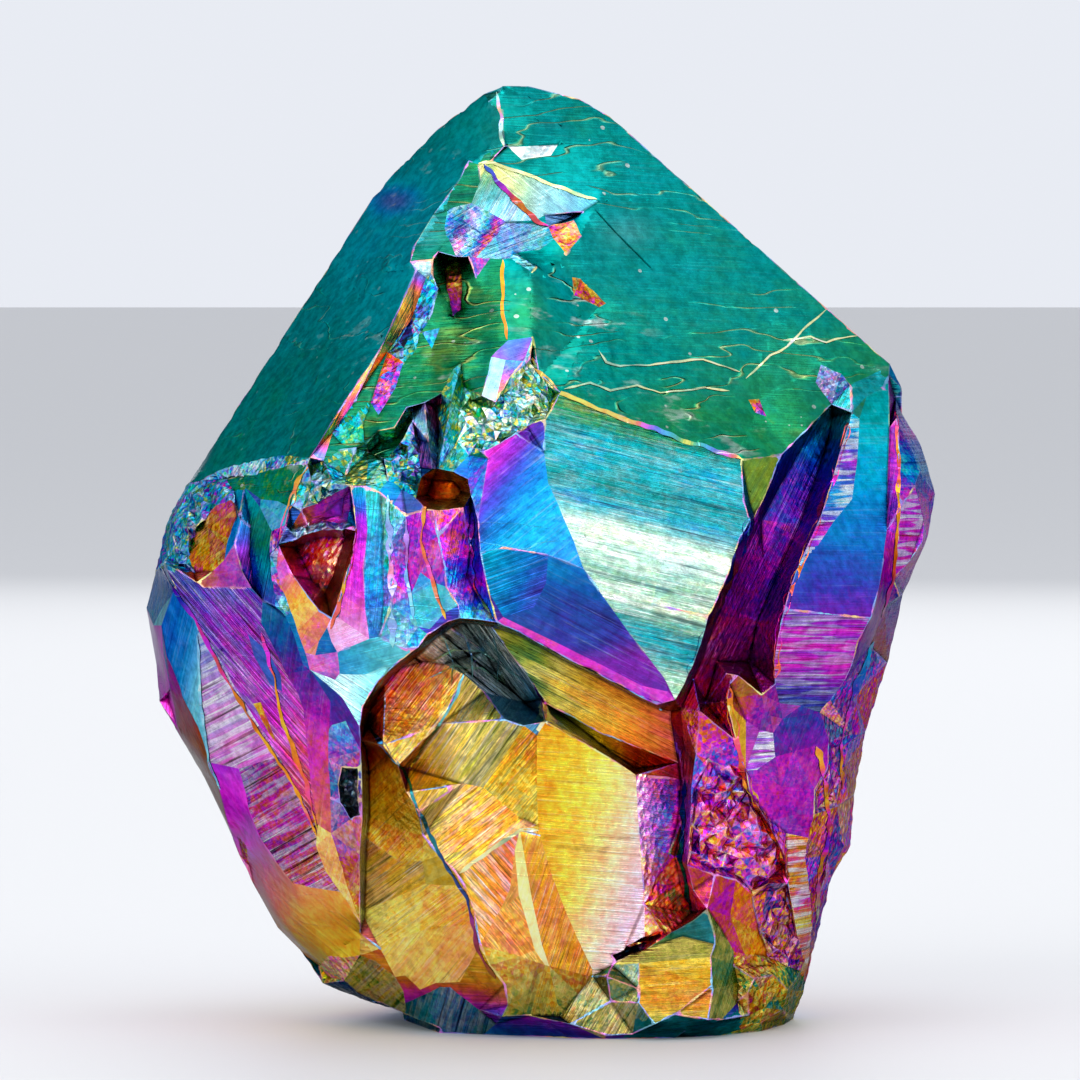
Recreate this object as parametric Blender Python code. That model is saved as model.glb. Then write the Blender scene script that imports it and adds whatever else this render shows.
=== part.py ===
# Aura-coated amethyst point: one grown piece, broken off and resting on its base.
# The tables below are in millimetres: x from the left datum, z up from the bench,
# and relief, which is how far a line lies behind (+) or in front of (-) the general form.
import random

import bmesh
import bpy
import numpy as np
from mathutils import Vector
from mathutils.geometry import delaunay_2d_cdt

for item in list(bpy.data.objects):
    bpy.data.objects.remove(item)

mm = 0.001
datumX = 54.15          # x of the middle of the piece in the tables
snap = 0.2              # corners nearer than this are one corner
rimBands = [(0.9, 0.7), (3.2, 1.7)]  # rings of corners inside the outline: distance, clear space
backDepth = 26.0        # how far the back bulges behind the outline
edgeBand = 6.0          # within this of the outline the two sheets are kept apart
edgeSlope = 0.35        # by at least this much for each mm inwards
reliefScale = 1.5       # the relief of the ridge lines is this much stronger than listed
flatPull = 1.0          # how strongly a facet is held flat
reliefPull = 0.30       # how strongly a corner on a ridge keeps its own relief
loosePull = 0.08        # and how strongly any other corner does
mostBend = 1.6          # a region more bent than this on the general form stays bent

# outline seen from the front, clockwise from the tip, with the depth of each corner
rim = [
    (50.2, 95.0, -1.5), (52.8, 95.0, -0.1), (58.0, 93.7, 1.6), (61.1, 92.0, 2.0), (70.0, 84.1, 0.6),
    (80.0, 75.2, -0.8), (89.5, 66.8, -2.4), (90.8, 64.3, -1.0), (90.9, 61.7, 1.0), (92.9, 58.5, 2.0),
    (94.4, 53.4, 3.0), (93.6, 48.9, 3.0), (91.1, 43.2, 2.5), (89.5, 36.2, 2.0), (87.2, 29.2, 1.0),
    (86.0, 22.8, 0.0), (85.7, 17.7, 0.0), (83.7, 14.5, -1.0), (82.1, 8.1, -2.0), (80.9, 3.0, -2.0),
    (79.9, 0.4, -1.0), (78.0, -8.0, 0.0), (58.0, -8.0, 0.0), (41.5, -8.0, 0.0), (40.0, 0.9, -2.0),
    (36.9, 1.7, -2.0), (31.8, 3.7, -2.0), (29.9, 6.8, -2.0), (27.3, 9.4, -2.0), (24.8, 13.9, -2.0),
    (22.8, 18.3, -2.0), (19.0, 26.0, -1.0), (15.2, 32.4, 0.0), (14.9, 36.2, 0.0), (13.9, 41.9, 0.0),
    (14.9, 45.7, 0.0), (15.9, 50.2, 0.0), (17.1, 52.8, -1.0), (21.6, 59.8, -3.0), (33.0, 77.6, 3.8),
    (36.9, 83.7, 6.1), (39.4, 86.6, 5.9), (43.9, 91.0, 4.0), (48.3, 94.2, 0.6),
]

# planes of the three front faces of the termination: depth = a + b x + c z
frontPlanes = [(-60.5, -2.086, 1.7155), (-66.6, -0.2, 0.8), (-105.2, 0.55, 0.8)]
backPlanes = [(13.9, 1.433, -0.8), (54.5, -0.087, -0.49), (128.45, -0.865, -0.8)]

# half widths and bulge of the body at a few heights: z, left x, right x, front bulge
body = [
    (-8, 38, 80, 15), (0, 37, 80, 21), (10, 27, 82.5, 25), (20, 22, 86, 28), (30, 17, 87.5, 31),
    (40, 14, 90.5, 33), (50, 15.5, 94, 34), (60, 21, 92, 36), (70, 28, 86, 38), (95, 44, 58, 40),
]

frontLines = [
    ("apex ridge", 0, [(49.8, 94.4), (50.1, 92.5), (50.4, 88.8)]),
    ("left ridge, upper", 0, [(50.4, 88.8), (48.9, 89.2), (46.8, 87.4), (45.6, 85.1), (43.3, 82.0),
        (41.3, 78.7), (41.0, 77.2)]),
    ("chamfer, outer edge", -0.3, [(41.0, 77.2), (41.6, 76.4), (38.4, 69.1), (34.0, 62.4), (31.3, 57.9)]),
    ("chamfer, inner edge", 0.4, [(42.6, 75.6), (41.2, 71.6), (38.8, 68.2), (35.6, 63.4), (33.4, 60.2),
        (32.6, 57.6)]),
    ("chamfer, top block", -0.8, [(41.0, 77.2), (43.3, 77.4), (43.2, 76.0), (42.6, 75.6), (41.6, 76.4)]),
    ("ridge down the middle", -0.4, [(50.2, 77.4), (50.3, 72.0), (50.8, 69.5)]),
    ("fan scar, top edge", 0, [(48.0, 85.4), (47.8, 87.0), (49.1, 87.4), (54.0, 85.5), (59.9, 83.3)]),
    ("fan scar, lower edge", 1.0, [(59.9, 83.3), (58.3, 82.2), (54.5, 81.9), (53.6, 81.4), (50.6, 81.2),
        (47.1, 83.1), (48.0, 85.4)]),
    ("fan scar, line", 0.6, [(48.6, 87.0), (50.5, 84.4), (53.6, 81.4), (54.8, 80.7)]),
    ("fan scar, end step", 1.4, [(54.5, 81.9), (54.8, 80.7), (57.8, 82.0)]),
    ("hollow, edge", 0.2, [(54.8, 80.7), (57.4, 81.4), (58.2, 79.8), (56.6, 78.0), (55.4, 79.4)]),
    ("hollow, rim", 2.4, [(50.6, 81.2), (53.4, 81.0), (54.8, 80.7), (55.4, 79.4), (54.0, 78.4),
        (52.0, 78.2)]),
    ("hollow, floor", 2.2, [(52.0, 78.2), (50.2, 77.4), (47.6, 77.7), (49.5, 79.7), (50.6, 81.2)]),
    ("chip beside the hollow", -0.4, [(51.2, 78.3), (53.6, 76.7), (53.2, 76.2), (51.0, 77.6)]),
    ("broken corner, edge", 0.2, [(47.1, 83.1), (44.7, 82.4), (44.4, 80.6), (44.8, 79.5), (45.6, 77.7),
        (47.6, 77.7)]),
    ("broken corner, steps", 1.6, [(44.7, 82.4), (46.2, 81.4), (47.1, 83.1)]),
    ("broken corner, lower steps", 1.2, [(46.2, 81.4), (48.4, 80.0), (50.6, 81.2)]),
    ("broken corner, foot", 0.6, [(44.8, 79.5), (46.8, 79.6), (49.5, 79.7)]),
    ("broken corner, middle", 1.8, [(46.2, 81.4), (46.8, 79.6), (47.6, 77.7)]),
    ("chip under the corner", 0.5, [(46.8, 77.7), (47.6, 75.6), (49.0, 77.6)]),
    ("dark hole", 1.8, [(44.4, 77.0), (46.0, 77.4), (46.2, 75.0), (46.0, 72.4), (45.3, 71.8), (44.7, 74.5),
        (44.4, 77.0)]),
    ("dark hole, step", 0.6, [(44.7, 74.5), (45.4, 75.2), (46.2, 75.0)]),
    ("chipped run, outer", -0.4, [(43.2, 76.0), (43.8, 78.2), (44.6, 79.8)]),
    ("chipped run, upper", 0.9, [(43.2, 76.0), (43.8, 74.5), (42.9, 71.5), (41.9, 70.0), (41.2, 71.6)]),
    ("chipped run, lower", -0.2, [(41.9, 70.0), (41.6, 68.4), (40.4, 67.2), (38.8, 68.2)]),
    ("chipped run, pit", 1.9, [(41.0, 71.2), (41.3, 70.0), (40.4, 68.6), (39.9, 69.3), (41.0, 71.2)]),
    ("chipped run, island", 0.8, [(42.2, 70.2), (44.0, 70.6), (43.2, 68.6), (42.2, 70.2)]),
    ("chips by the chamfer 1", 0.9, [(40.4, 67.2), (39.6, 64.6), (38.0, 62.0), (37.2, 63.2), (38.0, 65.8),
        (38.8, 68.2)]),
    ("chips by the chamfer 2", -0.3, [(38.0, 65.8), (39.6, 64.6)]),
    ("chips by the chamfer 3", 0.8, [(37.2, 63.2), (36.4, 61.2), (36.6, 59.4), (34.4, 59.2), (33.4, 60.2)]),
    ("chips by the chamfer 4", -0.2, [(35.6, 63.4), (36.4, 61.2)]),
    ("centre face, lower edge", 0, [(32.6, 57.6), (34.3, 58.6), (35.8, 58.8), (36.8, 59.2), (38.0, 60.5),
        (39.6, 60.8), (40.8, 62.8), (42.6, 63.3), (44.2, 64.2)]),
    ("centre face, step foot", 1.2, [(35.8, 58.8), (34.8, 56.2), (34.3, 58.6)]),
    ("centre face, foot of the ledge", 1.5, [(37.0, 58.4), (38.2, 59.4), (39.8, 59.8), (41.2, 61.6)]),
    ("splinter 1", -1.0, [(44.2, 64.2), (45.4, 66.6), (46.2, 67.2), (45.2, 63.4), (44.6, 60.0),
        (43.8, 56.9)]),
    ("splinter 2", 0.9, [(41.3, 62.6), (42.0, 59.5), (42.2, 57.0)]),
    ("splinter 3", -0.6, [(42.6, 63.3), (43.0, 59.5), (43.4, 56.9)]),
    ("splinter 4", 1.0, [(43.6, 63.0), (44.0, 60.0), (43.8, 56.9)]),
    ("block, outline", -0.9, [(48.2, 64.0), (48.8, 66.0), (49.1, 68.0), (50.8, 69.5), (53.3, 69.8),
        (53.1, 67.6), (51.2, 66.0), (49.6, 63.4), (48.2, 64.0)]),
    ("block, top edge", -1.6, [(49.1, 68.0), (50.6, 67.6), (52.4, 67.4), (53.3, 69.8)]),
    ("block, side edge", -1.2, [(50.6, 67.6), (49.6, 63.4)]),
    ("termination, lower edge", 0, [(53.2, 67.6), (53.8, 66.5), (56.0, 64.3), (62.0, 61.8), (69.0, 59.2),
        (73.4, 57.9), (74.1, 57.5), (78.2, 57.9), (80.5, 60.0), (83.4, 62.8), (85.4, 64.8), (88.4, 66.0),
        (89.4, 65.6)]),
    ("corner chips", 0.8, [(81.8, 65.0), (83.4, 62.8)]),
    ("corner chips, top", -0.3, [(81.8, 65.0), (82.4, 66.8), (84.4, 65.8), (85.4, 64.8)]),
    ("chip on the right face", 0.9, [(57.2, 75.6), (58.0, 75.4), (60.6, 73.0), (59.9, 72.6), (57.4, 73.8),
        (57.2, 75.6)]),
    ("small chip on the right face", 0.7, [(74.9, 63.3), (76.0, 63.4), (76.7, 61.6), (75.6, 62.0),
        (74.9, 63.3)]),
    ("chip below the tip 1", 0.6, [(50.8, 88.8), (52.6, 88.8), (52.2, 87.6), (50.8, 88.8)]),
    ("chip below the tip 2", 0.6, [(54.0, 88.9), (55.8, 89.0), (55.1, 87.9), (54.0, 88.9)]),
    ("olive facet", 0.4, [(74.1, 57.5), (74.9, 53.4), (75.4, 51.8), (76.6, 54.2), (78.2, 57.9)]),

    ("front face, right edge", -0.8, [(74.1, 57.5), (74.3, 53.4), (74.9, 51.6), (73.8, 49.8), (72.6, 46.4),
        (71.2, 43.4), (70.6, 42.4), (69.8, 39.6), (68.6, 36.4), (67.3, 34.2)]),
    ("front faces, shared edge", -1.4, [(56.0, 64.3), (54.5, 61.8), (54.4, 58.5), (54.8, 55.5), (55.8, 53.4),
        (57.4, 49.8), (58.3, 47.2), (59.9, 44.9), (62.8, 40.8), (64.5, 38.6), (66.2, 36.4), (67.3, 34.2)]),
    ("front face, band edge", -0.9, [(59.9, 44.9), (65.0, 43.7), (70.6, 42.4)]),
    ("front face, tip edge", -0.9, [(62.8, 40.8), (66.4, 39.8), (69.8, 39.6)]),
    ("groove beside the front face", 1.8, [(75.4, 51.8), (74.4, 48.4), (73.0, 45.6), (71.6, 42.2),
        (70.4, 39.0), (69.2, 36.0), (68.0, 33.0)]),
    ("blue face, left edge", -0.6, [(48.9, 57.9), (47.9, 52.0), (48.1, 48.9), (48.9, 45.0), (49.7, 41.9)]),
    ("blue face, top edge", -0.6, [(48.3, 58.6), (50.0, 59.4), (51.6, 60.4), (54.5, 61.8)]),
    ("blue face, lower fold", -1.0, [(48.1, 48.9), (50.5, 49.3), (54.8, 48.6), (58.3, 47.2)]),
    ("blue face, hollow", 0.4, [(54.8, 48.6), (54.6, 45.8), (53.4, 43.4), (56.6, 44.2), (59.9, 44.9)]),
    ("blue face, band above the lip", -1.0, [(50.4, 42.4), (56.0, 39.7), (60.0, 37.7), (64.0, 35.6),
        (66.6, 35.0)]),
    ("lip", -0.6, [(49.7, 41.9), (52.0, 40.9), (56.0, 38.6), (60.0, 36.6), (64.0, 34.4), (65.5, 33.7),
        (67.3, 34.2)]),
    ("under the lip", 4.4, [(49.2, 41.1), (52.0, 40.2), (56.0, 37.9), (60.0, 35.9), (64.0, 33.7),
        (66.0, 32.8), (67.0, 32.6)]),
    ("arch", -0.2, [(36.2, 31.4), (36.5, 33.4), (38.0, 35.9), (39.5, 37.4), (42.0, 39.4), (43.0, 40.6),
        (45.0, 41.9), (46.2, 42.3), (47.5, 42.2), (49.7, 41.9)]),
    ("under the arch", 3.6, [(36.8, 31.3), (37.2, 33.1), (38.6, 35.3), (40.1, 36.9), (42.6, 38.8),
        (43.6, 39.9), (45.2, 41.1), (46.4, 41.5), (47.6, 41.4), (49.2, 41.1)]),

    ("roof, lower edge", 4.6, [(40.1, 36.9), (42.5, 37.6), (44.5, 37.4), (46.5, 36.4), (48.5, 34.6),
        (50.5, 32.0), (52.4, 31.4), (53.7, 30.4)]),
    ("roof, right edge", 6.4, [(49.2, 41.1), (50.6, 39.0), (52.0, 37.2), (53.2, 35.6), (54.0, 33.8),
        (55.5, 32.6), (57.5, 31.2), (60.5, 28.8), (63.5, 26.6)]),
    ("roof, crease", 7.6, [(46.4, 41.5), (48.4, 38.6), (50.0, 35.8), (52.4, 33.4), (54.0, 33.8)]),
    ("gold band, step 1", 4.2, [(50.6, 39.0), (56.0, 36.4), (62.0, 33.6), (67.0, 31.6)]),
    ("gold band, step 2", 4.2, [(52.6, 36.6), (58.0, 33.4), (64.0, 30.6), (67.3, 29.6)]),
    ("gold band, step 3", 4.0, [(54.6, 33.4), (60.0, 30.4), (67.7, 27.4)]),
    ("gold band, right end", 3.6, [(67.0, 32.6), (67.0, 31.6), (67.3, 29.6), (67.7, 27.4), (68.0, 25.7)]),
    ("yellow face, top edge", 3.0, [(53.7, 30.4), (54.6, 31.8), (58.0, 29.9), (61.5, 27.8), (63.5, 26.4),
        (68.0, 25.7)]),
    ("yellow face, left edge", -0.6, [(53.7, 30.4), (53.7, 25.4), (54.0, 20.4), (55.2, 16.4), (56.5, 12.9),
        (57.8, 9.9), (59.2, 6.9)]),
    ("yellow face, fold", 1.4, [(63.5, 26.4), (63.9, 20.0), (64.4, 15.0), (64.4, 9.9)]),
    ("yellow face, right edge", 3.0, [(68.0, 25.7), (67.7, 21.6), (66.8, 18.4), (65.2, 15.4),
        (64.4, 13.4)]),
    ("yellow face, lower right", 2.4, [(64.4, 9.9), (62.6, 9.2), (61.2, 7.4)]),
    ("winding ridge", -0.6, [(36.3, 30.1), (38.5, 29.6), (40.0, 27.6), (40.8, 24.9), (42.0, 22.9),
        (42.4, 20.4), (44.0, 18.4), (45.5, 16.9), (46.5, 15.4), (47.5, 12.9), (48.0, 9.4), (49.0, 7.4),
        (50.5, 5.4), (50.8, 3.4), (50.2, 2.2)]),
    ("gold slope, foot", 2.8, [(42.4, 20.4), (46.3, 25.6), (50.5, 32.0)]),
    ("gold slope, middle", 2.2, [(41.0, 27.0), (44.2, 31.6), (46.5, 36.4)]),
    ("gold slope, cross line", 2.6, [(46.3, 25.6), (48.4, 25.2), (51.6, 30.1), (52.4, 31.4)]),
    ("dark triangle", 3.8, [(48.4, 25.2), (52.0, 22.2), (53.8, 21.4)]),
    ("light line", 0.8, [(46.0, 16.6), (50.0, 19.6), (52.0, 21.0), (53.9, 20.9)]),
    ("small point, left edge", 1.4, [(51.5, 18.9), (51.0, 15.0), (50.0, 12.9), (48.0, 9.4)]),
    ("small point, middle", -0.6, [(51.5, 18.9), (51.9, 14.4), (52.5, 12.4), (53.5, 8.9), (54.5, 7.4)]),
    ("small point, right edge", 0.9, [(52.0, 21.0), (53.2, 14.0), (54.2, 9.4), (54.9, 7.3)]),
    ("small point, saddle", 1.2, [(51.9, 14.4), (50.0, 12.9)]),
    ("gold ledge, top", -0.4, [(48.0, 9.4), (52.0, 8.3), (54.9, 7.3), (59.0, 6.2)]),
    ("gold ledge, foot", 0.4, [(50.2, 2.2), (53.0, 2.3), (56.0, 2.2)]),
    ("left gold, break", 0.4, [(36.5, 19.9), (40.0, 17.6), (42.4, 17.8), (44.0, 18.4)]),
    ("left gold, dark triangle", 1.8, [(42.4, 17.8), (42.6, 15.4), (46.5, 15.4)]),
    ("left gold, diagonal", 0.2, [(36.2, 12.4), (39.0, 13.6), (42.6, 15.4)]),
    ("left gold, lower diagonal", 0.5, [(38.0, 8.6), (42.0, 10.6), (47.6, 11.6)]),
    ("left gold, lower edge", -0.3, [(36.0, 9.3), (38.0, 8.6), (40.5, 5.9), (42.0, 4.5), (43.6, 5.3),
        (46.0, 5.5), (48.0, 9.4)]),
    ("left gold, wall", 3.0, [(36.7, 29.0), (37.0, 26.0), (37.0, 22.0), (36.7, 19.0), (36.5, 14.0),
        (36.5, 11.6), (36.0, 9.3)]),
    ("foot block", -0.4, [(35.9, 7.7), (37.5, 7.3), (39.5, 5.7), (40.3, 4.2), (40.5, 2.9), (40.4, 1.7)]),
    ("foot block, left", 0.4, [(35.9, 7.7), (34.2, 4.6), (35.4, 3.4), (38.0, 2.6), (40.4, 1.7)]),
    ("foot facets", -0.2, [(40.5, 2.9), (44.0, 4.9), (45.0, 4.9), (48.0, 2.6), (49.6, 1.2)]),
    ("foot facets, divide", -0.6, [(44.4, 4.9), (44.0, 0.5)]),
    ("foot nodule", 0.2, [(46.0, 5.5), (46.6, 3.6)]),
    ("dark foot rim", -0.2, [(28.8, 9.4), (30.4, 7.2), (31.6, 5.6), (34.2, 4.6)]),

    ("left blade ridge, upper", -1.2, [(16.4, 47.0), (17.5, 44.8), (19.7, 41.0), (21.5, 38.4), (23.2, 35.4),
        (24.8, 32.9), (26.3, 30.5), (28.0, 27.9), (29.5, 24.9), (31.8, 21.2)]),
    ("left blade ridge, left branch", -1.2, [(31.8, 21.2), (31.6, 19.0), (32.6, 16.4), (34.0, 14.4),
        (35.4, 12.4), (36.1, 11.4), (36.1, 10.0), (35.9, 7.7)]),
    ("left blade ridge, right branch", -0.2, [(31.8, 21.2), (33.2, 20.4), (34.0, 18.0), (34.8, 15.0),
        (36.1, 11.4)]),
    ("purple face, top edge", -0.3, [(16.4, 47.0), (18.0, 46.4), (19.8, 45.3), (20.5, 44.8), (25.0, 44.9),
        (26.5, 43.7), (28.8, 42.2), (29.7, 40.4), (30.6, 37.4), (31.2, 36.9), (34.5, 34.2), (36.2, 31.4)]),
    ("purple face, wedge", 0.8, [(25.0, 40.2), (27.0, 38.6), (28.3, 36.2), (28.4, 34.6), (27.2, 35.2),
        (25.6, 38.0), (25.0, 40.2)]),
    ("purple face, orange line", -0.6, [(26.3, 41.4), (27.6, 38.9), (28.8, 36.4), (30.0, 34.4), (30.5, 32.9),
        (30.8, 29.5), (31.2, 25.5), (31.8, 21.2)]),
    ("purple face, chips", 0.7, [(25.4, 33.2), (26.2, 33.4), (27.8, 29.4), (27.0, 30.2), (25.4, 33.2)]),
    ("column by the arch", 0.3, [(33.3, 33.8), (33.1, 31.0), (33.0, 28.0), (33.2, 24.0), (33.2, 20.4)]),
    ("druse strip, right edge", 0.2, [(36.2, 31.4), (36.3, 29.0), (36.4, 26.0), (36.4, 22.0), (36.1, 18.4),
        (36.1, 14.0), (36.1, 11.4)]),
    ("lilac strip", 0.6, [(33.4, 31.4), (34.8, 31.9), (36.3, 29.0)]),
    ("blue blade, left edge", -0.5, [(17.5, 44.8), (17.0, 43.6), (15.9, 40.6), (16.4, 37.4), (18.0, 33.4),
        (19.4, 30.8), (20.6, 26.8), (21.7, 23.8), (22.4, 20.2), (23.4, 16.8)]),
    ("blue blade, right edge", 0.3, [(19.7, 41.0), (19.8, 37.4), (20.0, 33.4), (20.4, 29.8), (20.6, 26.8)]),
    ("cyan strip", 0.2, [(17.0, 43.6), (16.0, 42.4), (15.2, 41.0), (14.9, 40.4)]),
    ("cyan strip, foot", 0, [(15.9, 40.6), (14.9, 40.4)]),
    ("magenta strip", -0.2, [(15.9, 40.6), (16.0, 37.4), (16.6, 34.0), (17.1, 29.9), (17.6, 29.2)]),
    ("vivid face", -0.2, [(21.9, 26.6), (23.8, 26.4), (24.7, 22.4), (25.9, 19.4), (27.6, 16.9), (29.2, 14.9),
        (31.0, 14.6), (34.0, 14.4)]),
    ("vivid face, top", -0.2, [(20.6, 26.8), (21.9, 26.6)]),
    ("striated faces, divide", 0, [(23.8, 26.4), (26.4, 27.4), (28.0, 27.9)]),
    ("gold chips", 0.5, [(31.8, 5.9), (32.6, 7.2), (34.4, 7.3), (35.9, 7.7)]),
    ("small gold pit", 0.8, [(23.4, 18.8), (24.3, 18.2), (24.4, 15.8), (23.8, 16.4), (23.4, 18.8)]),

    ("left ledge, top", -0.2, [(18.6, 54.8), (19.8, 55.1), (21.4, 56.0), (23.6, 56.8), (26.5, 57.6),
        (28.4, 58.0), (31.3, 57.9)]),
    ("left ledge, foot", 1.0, [(21.6, 55.3), (24.2, 55.8), (26.6, 56.4), (29.0, 57.0), (31.4, 57.1)]),
    ("left ledge, triangle chip", 0.7, [(22.6, 55.5), (23.4, 54.2), (24.4, 54.4), (25.1, 55.9)]),
    ("gold nest, rim", -0.5, [(18.8, 47.8), (19.2, 49.8), (20.4, 51.4), (21.6, 52.8), (23.4, 53.4),
        (23.8, 51.8), (23.0, 49.6), (22.6, 47.6), (21.4, 46.4), (19.4, 46.2), (18.8, 47.8)]),
    ("gold nest, floor", 2.4, [(19.6, 48.4), (20.8, 50.6), (22.4, 51.6)]),
    ("gold nest, bar", 0.2, [(19.4, 46.8), (21.0, 47.8), (22.8, 48.8)]),
    ("gold nest, bar top", 0.6, [(22.4, 51.6), (23.6, 52.6)]),
    ("shoulder facet, left", -0.4, [(23.4, 54.2), (24.2, 51.8), (23.6, 49.2), (24.4, 46.6), (25.4, 44.9)]),
    ("shoulder facet, crease", 0.6, [(24.6, 54.6), (25.2, 51.0), (25.1, 48.0), (25.6, 44.9)]),
    ("shoulder facet, right", -0.2, [(24.6, 54.6), (26.2, 52.8), (27.4, 50.6), (27.2, 48.4), (27.5, 46.0),
        (27.8, 43.2)]),
    ("shoulder, orange edge", -0.5, [(31.0, 57.2), (30.0, 55.4), (29.4, 53.2), (28.8, 51.2), (28.2, 49.4),
        (27.3, 48.2)]),
    ("shoulder, wedge", 0.6, [(26.2, 53.6), (28.0, 53.5), (29.2, 53.0), (27.2, 52.7), (26.2, 53.6)]),
    ("pit 1, rim", -0.2, [(29.4, 51.0), (30.4, 52.6), (32.0, 53.4), (33.5, 54.2), (35.3, 55.2), (35.3, 53.0),
        (35.0, 51.6), (32.5, 51.7), (31.0, 51.3), (29.4, 51.0)]),
    ("pit 1, floor", 3.4, [(31.2, 51.9), (32.6, 52.3), (34.6, 54.0), (34.4, 52.2), (31.2, 51.9)]),
    ("pit 2, rim", -0.2, [(28.2, 49.2), (30.0, 49.8), (31.0, 50.4), (32.5, 50.8), (34.5, 50.8), (35.8, 51.2),
        (35.9, 49.9), (35.1, 47.4), (34.3, 44.4), (33.4, 42.2), (32.2, 42.9), (31.0, 44.4), (29.7, 46.2),
        (28.8, 47.9), (28.2, 49.2)]),
    ("pit 2, floor", 4.2, [(29.8, 48.8), (32.4, 49.9), (34.6, 49.8), (33.4, 46.0), (32.6, 44.4),
        (31.4, 45.6), (29.8, 48.8)]),
    ("pit 2, lump", 2.4, [(30.8, 46.4), (31.8, 48.0), (33.4, 46.0)]),
    ("gold wedge, left", -0.4, [(28.2, 49.2), (27.9, 47.0), (28.6, 44.6), (29.4, 42.6), (30.0, 40.8),
        (30.8, 38.6), (31.2, 36.9)]),
    ("gold wedge, right", 0.5, [(33.4, 42.2), (33.0, 41.2), (32.2, 39.8), (31.8, 38.4), (30.8, 38.6)]),
    ("cyan sliver", 0.6, [(28.8, 42.2), (29.4, 42.6)]),
    ("column, left edge", -0.6, [(35.3, 55.2), (35.9, 51.2), (35.3, 47.4), (34.6, 44.4), (34.1, 42.2)]),
    ("column, right edge", 0.3, [(38.2, 54.6), (38.5, 51.4), (38.5, 47.4), (38.6, 43.4), (38.2, 40.4)]),
    ("column, top", 0.2, [(35.3, 55.2), (36.8, 55.2), (38.2, 54.6)]),
    ("column, crease", -1.0, [(36.8, 55.2), (37.0, 51.0), (36.6, 47.0), (36.8, 43.0), (37.2, 40.2)]),
    ("pink facet", -0.2, [(33.4, 42.2), (34.1, 42.2), (37.2, 40.2), (35.4, 39.4), (34.0, 38.8), (33.4, 39.8),
        (33.0, 41.2)]),
    ("teal facet", -0.3, [(34.0, 38.8), (34.2, 36.6), (36.8, 36.6), (38.6, 37.4), (39.5, 37.4)]),
    ("teal facet, top", -0.4, [(37.2, 40.2), (38.2, 40.4), (40.6, 39.2), (42.0, 39.4)]),
    ("pink patch", -0.1, [(31.8, 38.4), (34.0, 38.8)]),
    ("white striped facet", -0.2, [(31.2, 36.9), (33.8, 36.0), (34.2, 36.6)]),
    ("white striped facet, foot", -0.3, [(36.8, 36.6), (36.5, 33.4)]),
    ("square pit, rim", -0.2, [(41.8, 54.1), (42.3, 56.1), (44.0, 56.9), (45.5, 56.6), (46.9, 55.9),
        (47.2, 54.4), (46.5, 53.2), (44.5, 53.0), (42.8, 53.0), (41.8, 54.1)]),
    ("square pit, floor", 3.6, [(42.8, 54.2), (43.4, 55.6), (45.4, 55.6), (46.2, 54.6), (45.6, 53.8),
        (43.4, 53.8), (42.8, 54.2)]),
    ("rough columns, ridge 1", -1.0, [(43.5, 53.0), (44.0, 50.4), (44.7, 47.4), (44.8, 45.4), (46.0, 43.6),
        (46.2, 42.3)]),
    ("rough columns, ridge 2", -0.6, [(39.6, 53.4), (39.3, 49.4), (39.5, 45.9), (39.3, 43.4),
        (38.2, 40.4)]),
    ("rough columns, ridge 3", 0.7, [(40.8, 52.4), (40.8, 48.4), (41.2, 44.4), (42.0, 41.4), (43.0, 40.6)]),
    ("rough columns, ridge 4", 0.8, [(47.2, 53.4), (47.2, 48.9), (46.8, 46.4), (48.0, 43.8), (49.7, 41.9)]),
    ("rough columns, cyan lump", -1.2, [(41.2, 44.4), (42.2, 46.8), (43.6, 45.8), (44.8, 45.4)]),
    ("rough columns, cyan lump foot", 0.4, [(43.2, 41.2), (44.6, 42.8), (46.0, 43.6)]),
    ("rough columns, top", 0.3, [(38.2, 54.6), (39.6, 53.4), (40.8, 52.4), (42.8, 53.0)]),
    ("rough columns, left chips", 0.8, [(38.4, 57.6), (39.0, 55.8), (38.2, 54.6)]),
    ("rough columns, left chips 2", -0.3, [(39.0, 55.8), (40.4, 54.8), (40.8, 52.4)]),

    ("right ridge", -1.6, [(85.4, 64.8), (85.4, 62.0), (84.5, 59.4), (83.2, 55.4), (82.0, 51.9),
        (80.5, 48.9), (79.5, 46.9), (78.5, 44.4), (77.7, 41.4), (77.2, 38.0), (77.3, 35.4), (77.8, 33.4),
        (78.2, 31.8)]),
    ("right hollow, upper crease", 3.0, [(83.6, 61.6), (80.4, 58.4), (78.0, 54.6), (76.2, 51.4)]),
    ("right hollow, deep line", 4.2, [(83.2, 59.2), (81.8, 55.4), (80.0, 51.0), (77.8, 46.4), (75.6, 41.4),
        (74.8, 37.4)]),
    ("right hollow, fold", 3.4, [(76.2, 47.9), (79.0, 50.2), (80.0, 51.0)]),
    ("right hollow, fold foot", 3.0, [(73.4, 42.0), (75.6, 41.4)]),
    ("right hollow, left crease", 3.0, [(75.4, 51.8), (76.2, 47.9), (73.4, 42.0), (71.6, 37.6),
        (70.4, 33.4)]),
    ("fringe", 0.3, [(86.2, 61.4), (85.8, 57.0), (85.2, 53.4), (83.2, 51.2), (81.6, 49.0), (80.2, 47.6),
        (79.5, 46.9)]),
    ("blue side face, top", -0.3, [(85.4, 62.0), (86.2, 61.4), (87.0, 63.6), (88.8, 64.4), (89.4, 65.6)]),
    ("blue side face, right edge", -1.2, [(89.4, 65.6), (89.3, 60.4), (89.0, 55.4), (88.8, 50.4),
        (88.4, 47.4), (87.8, 44.4), (87.0, 41.7), (85.8, 39.4), (85.2, 36.9), (84.5, 35.4), (83.0, 33.4),
        (82.0, 32.2)]),
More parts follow.
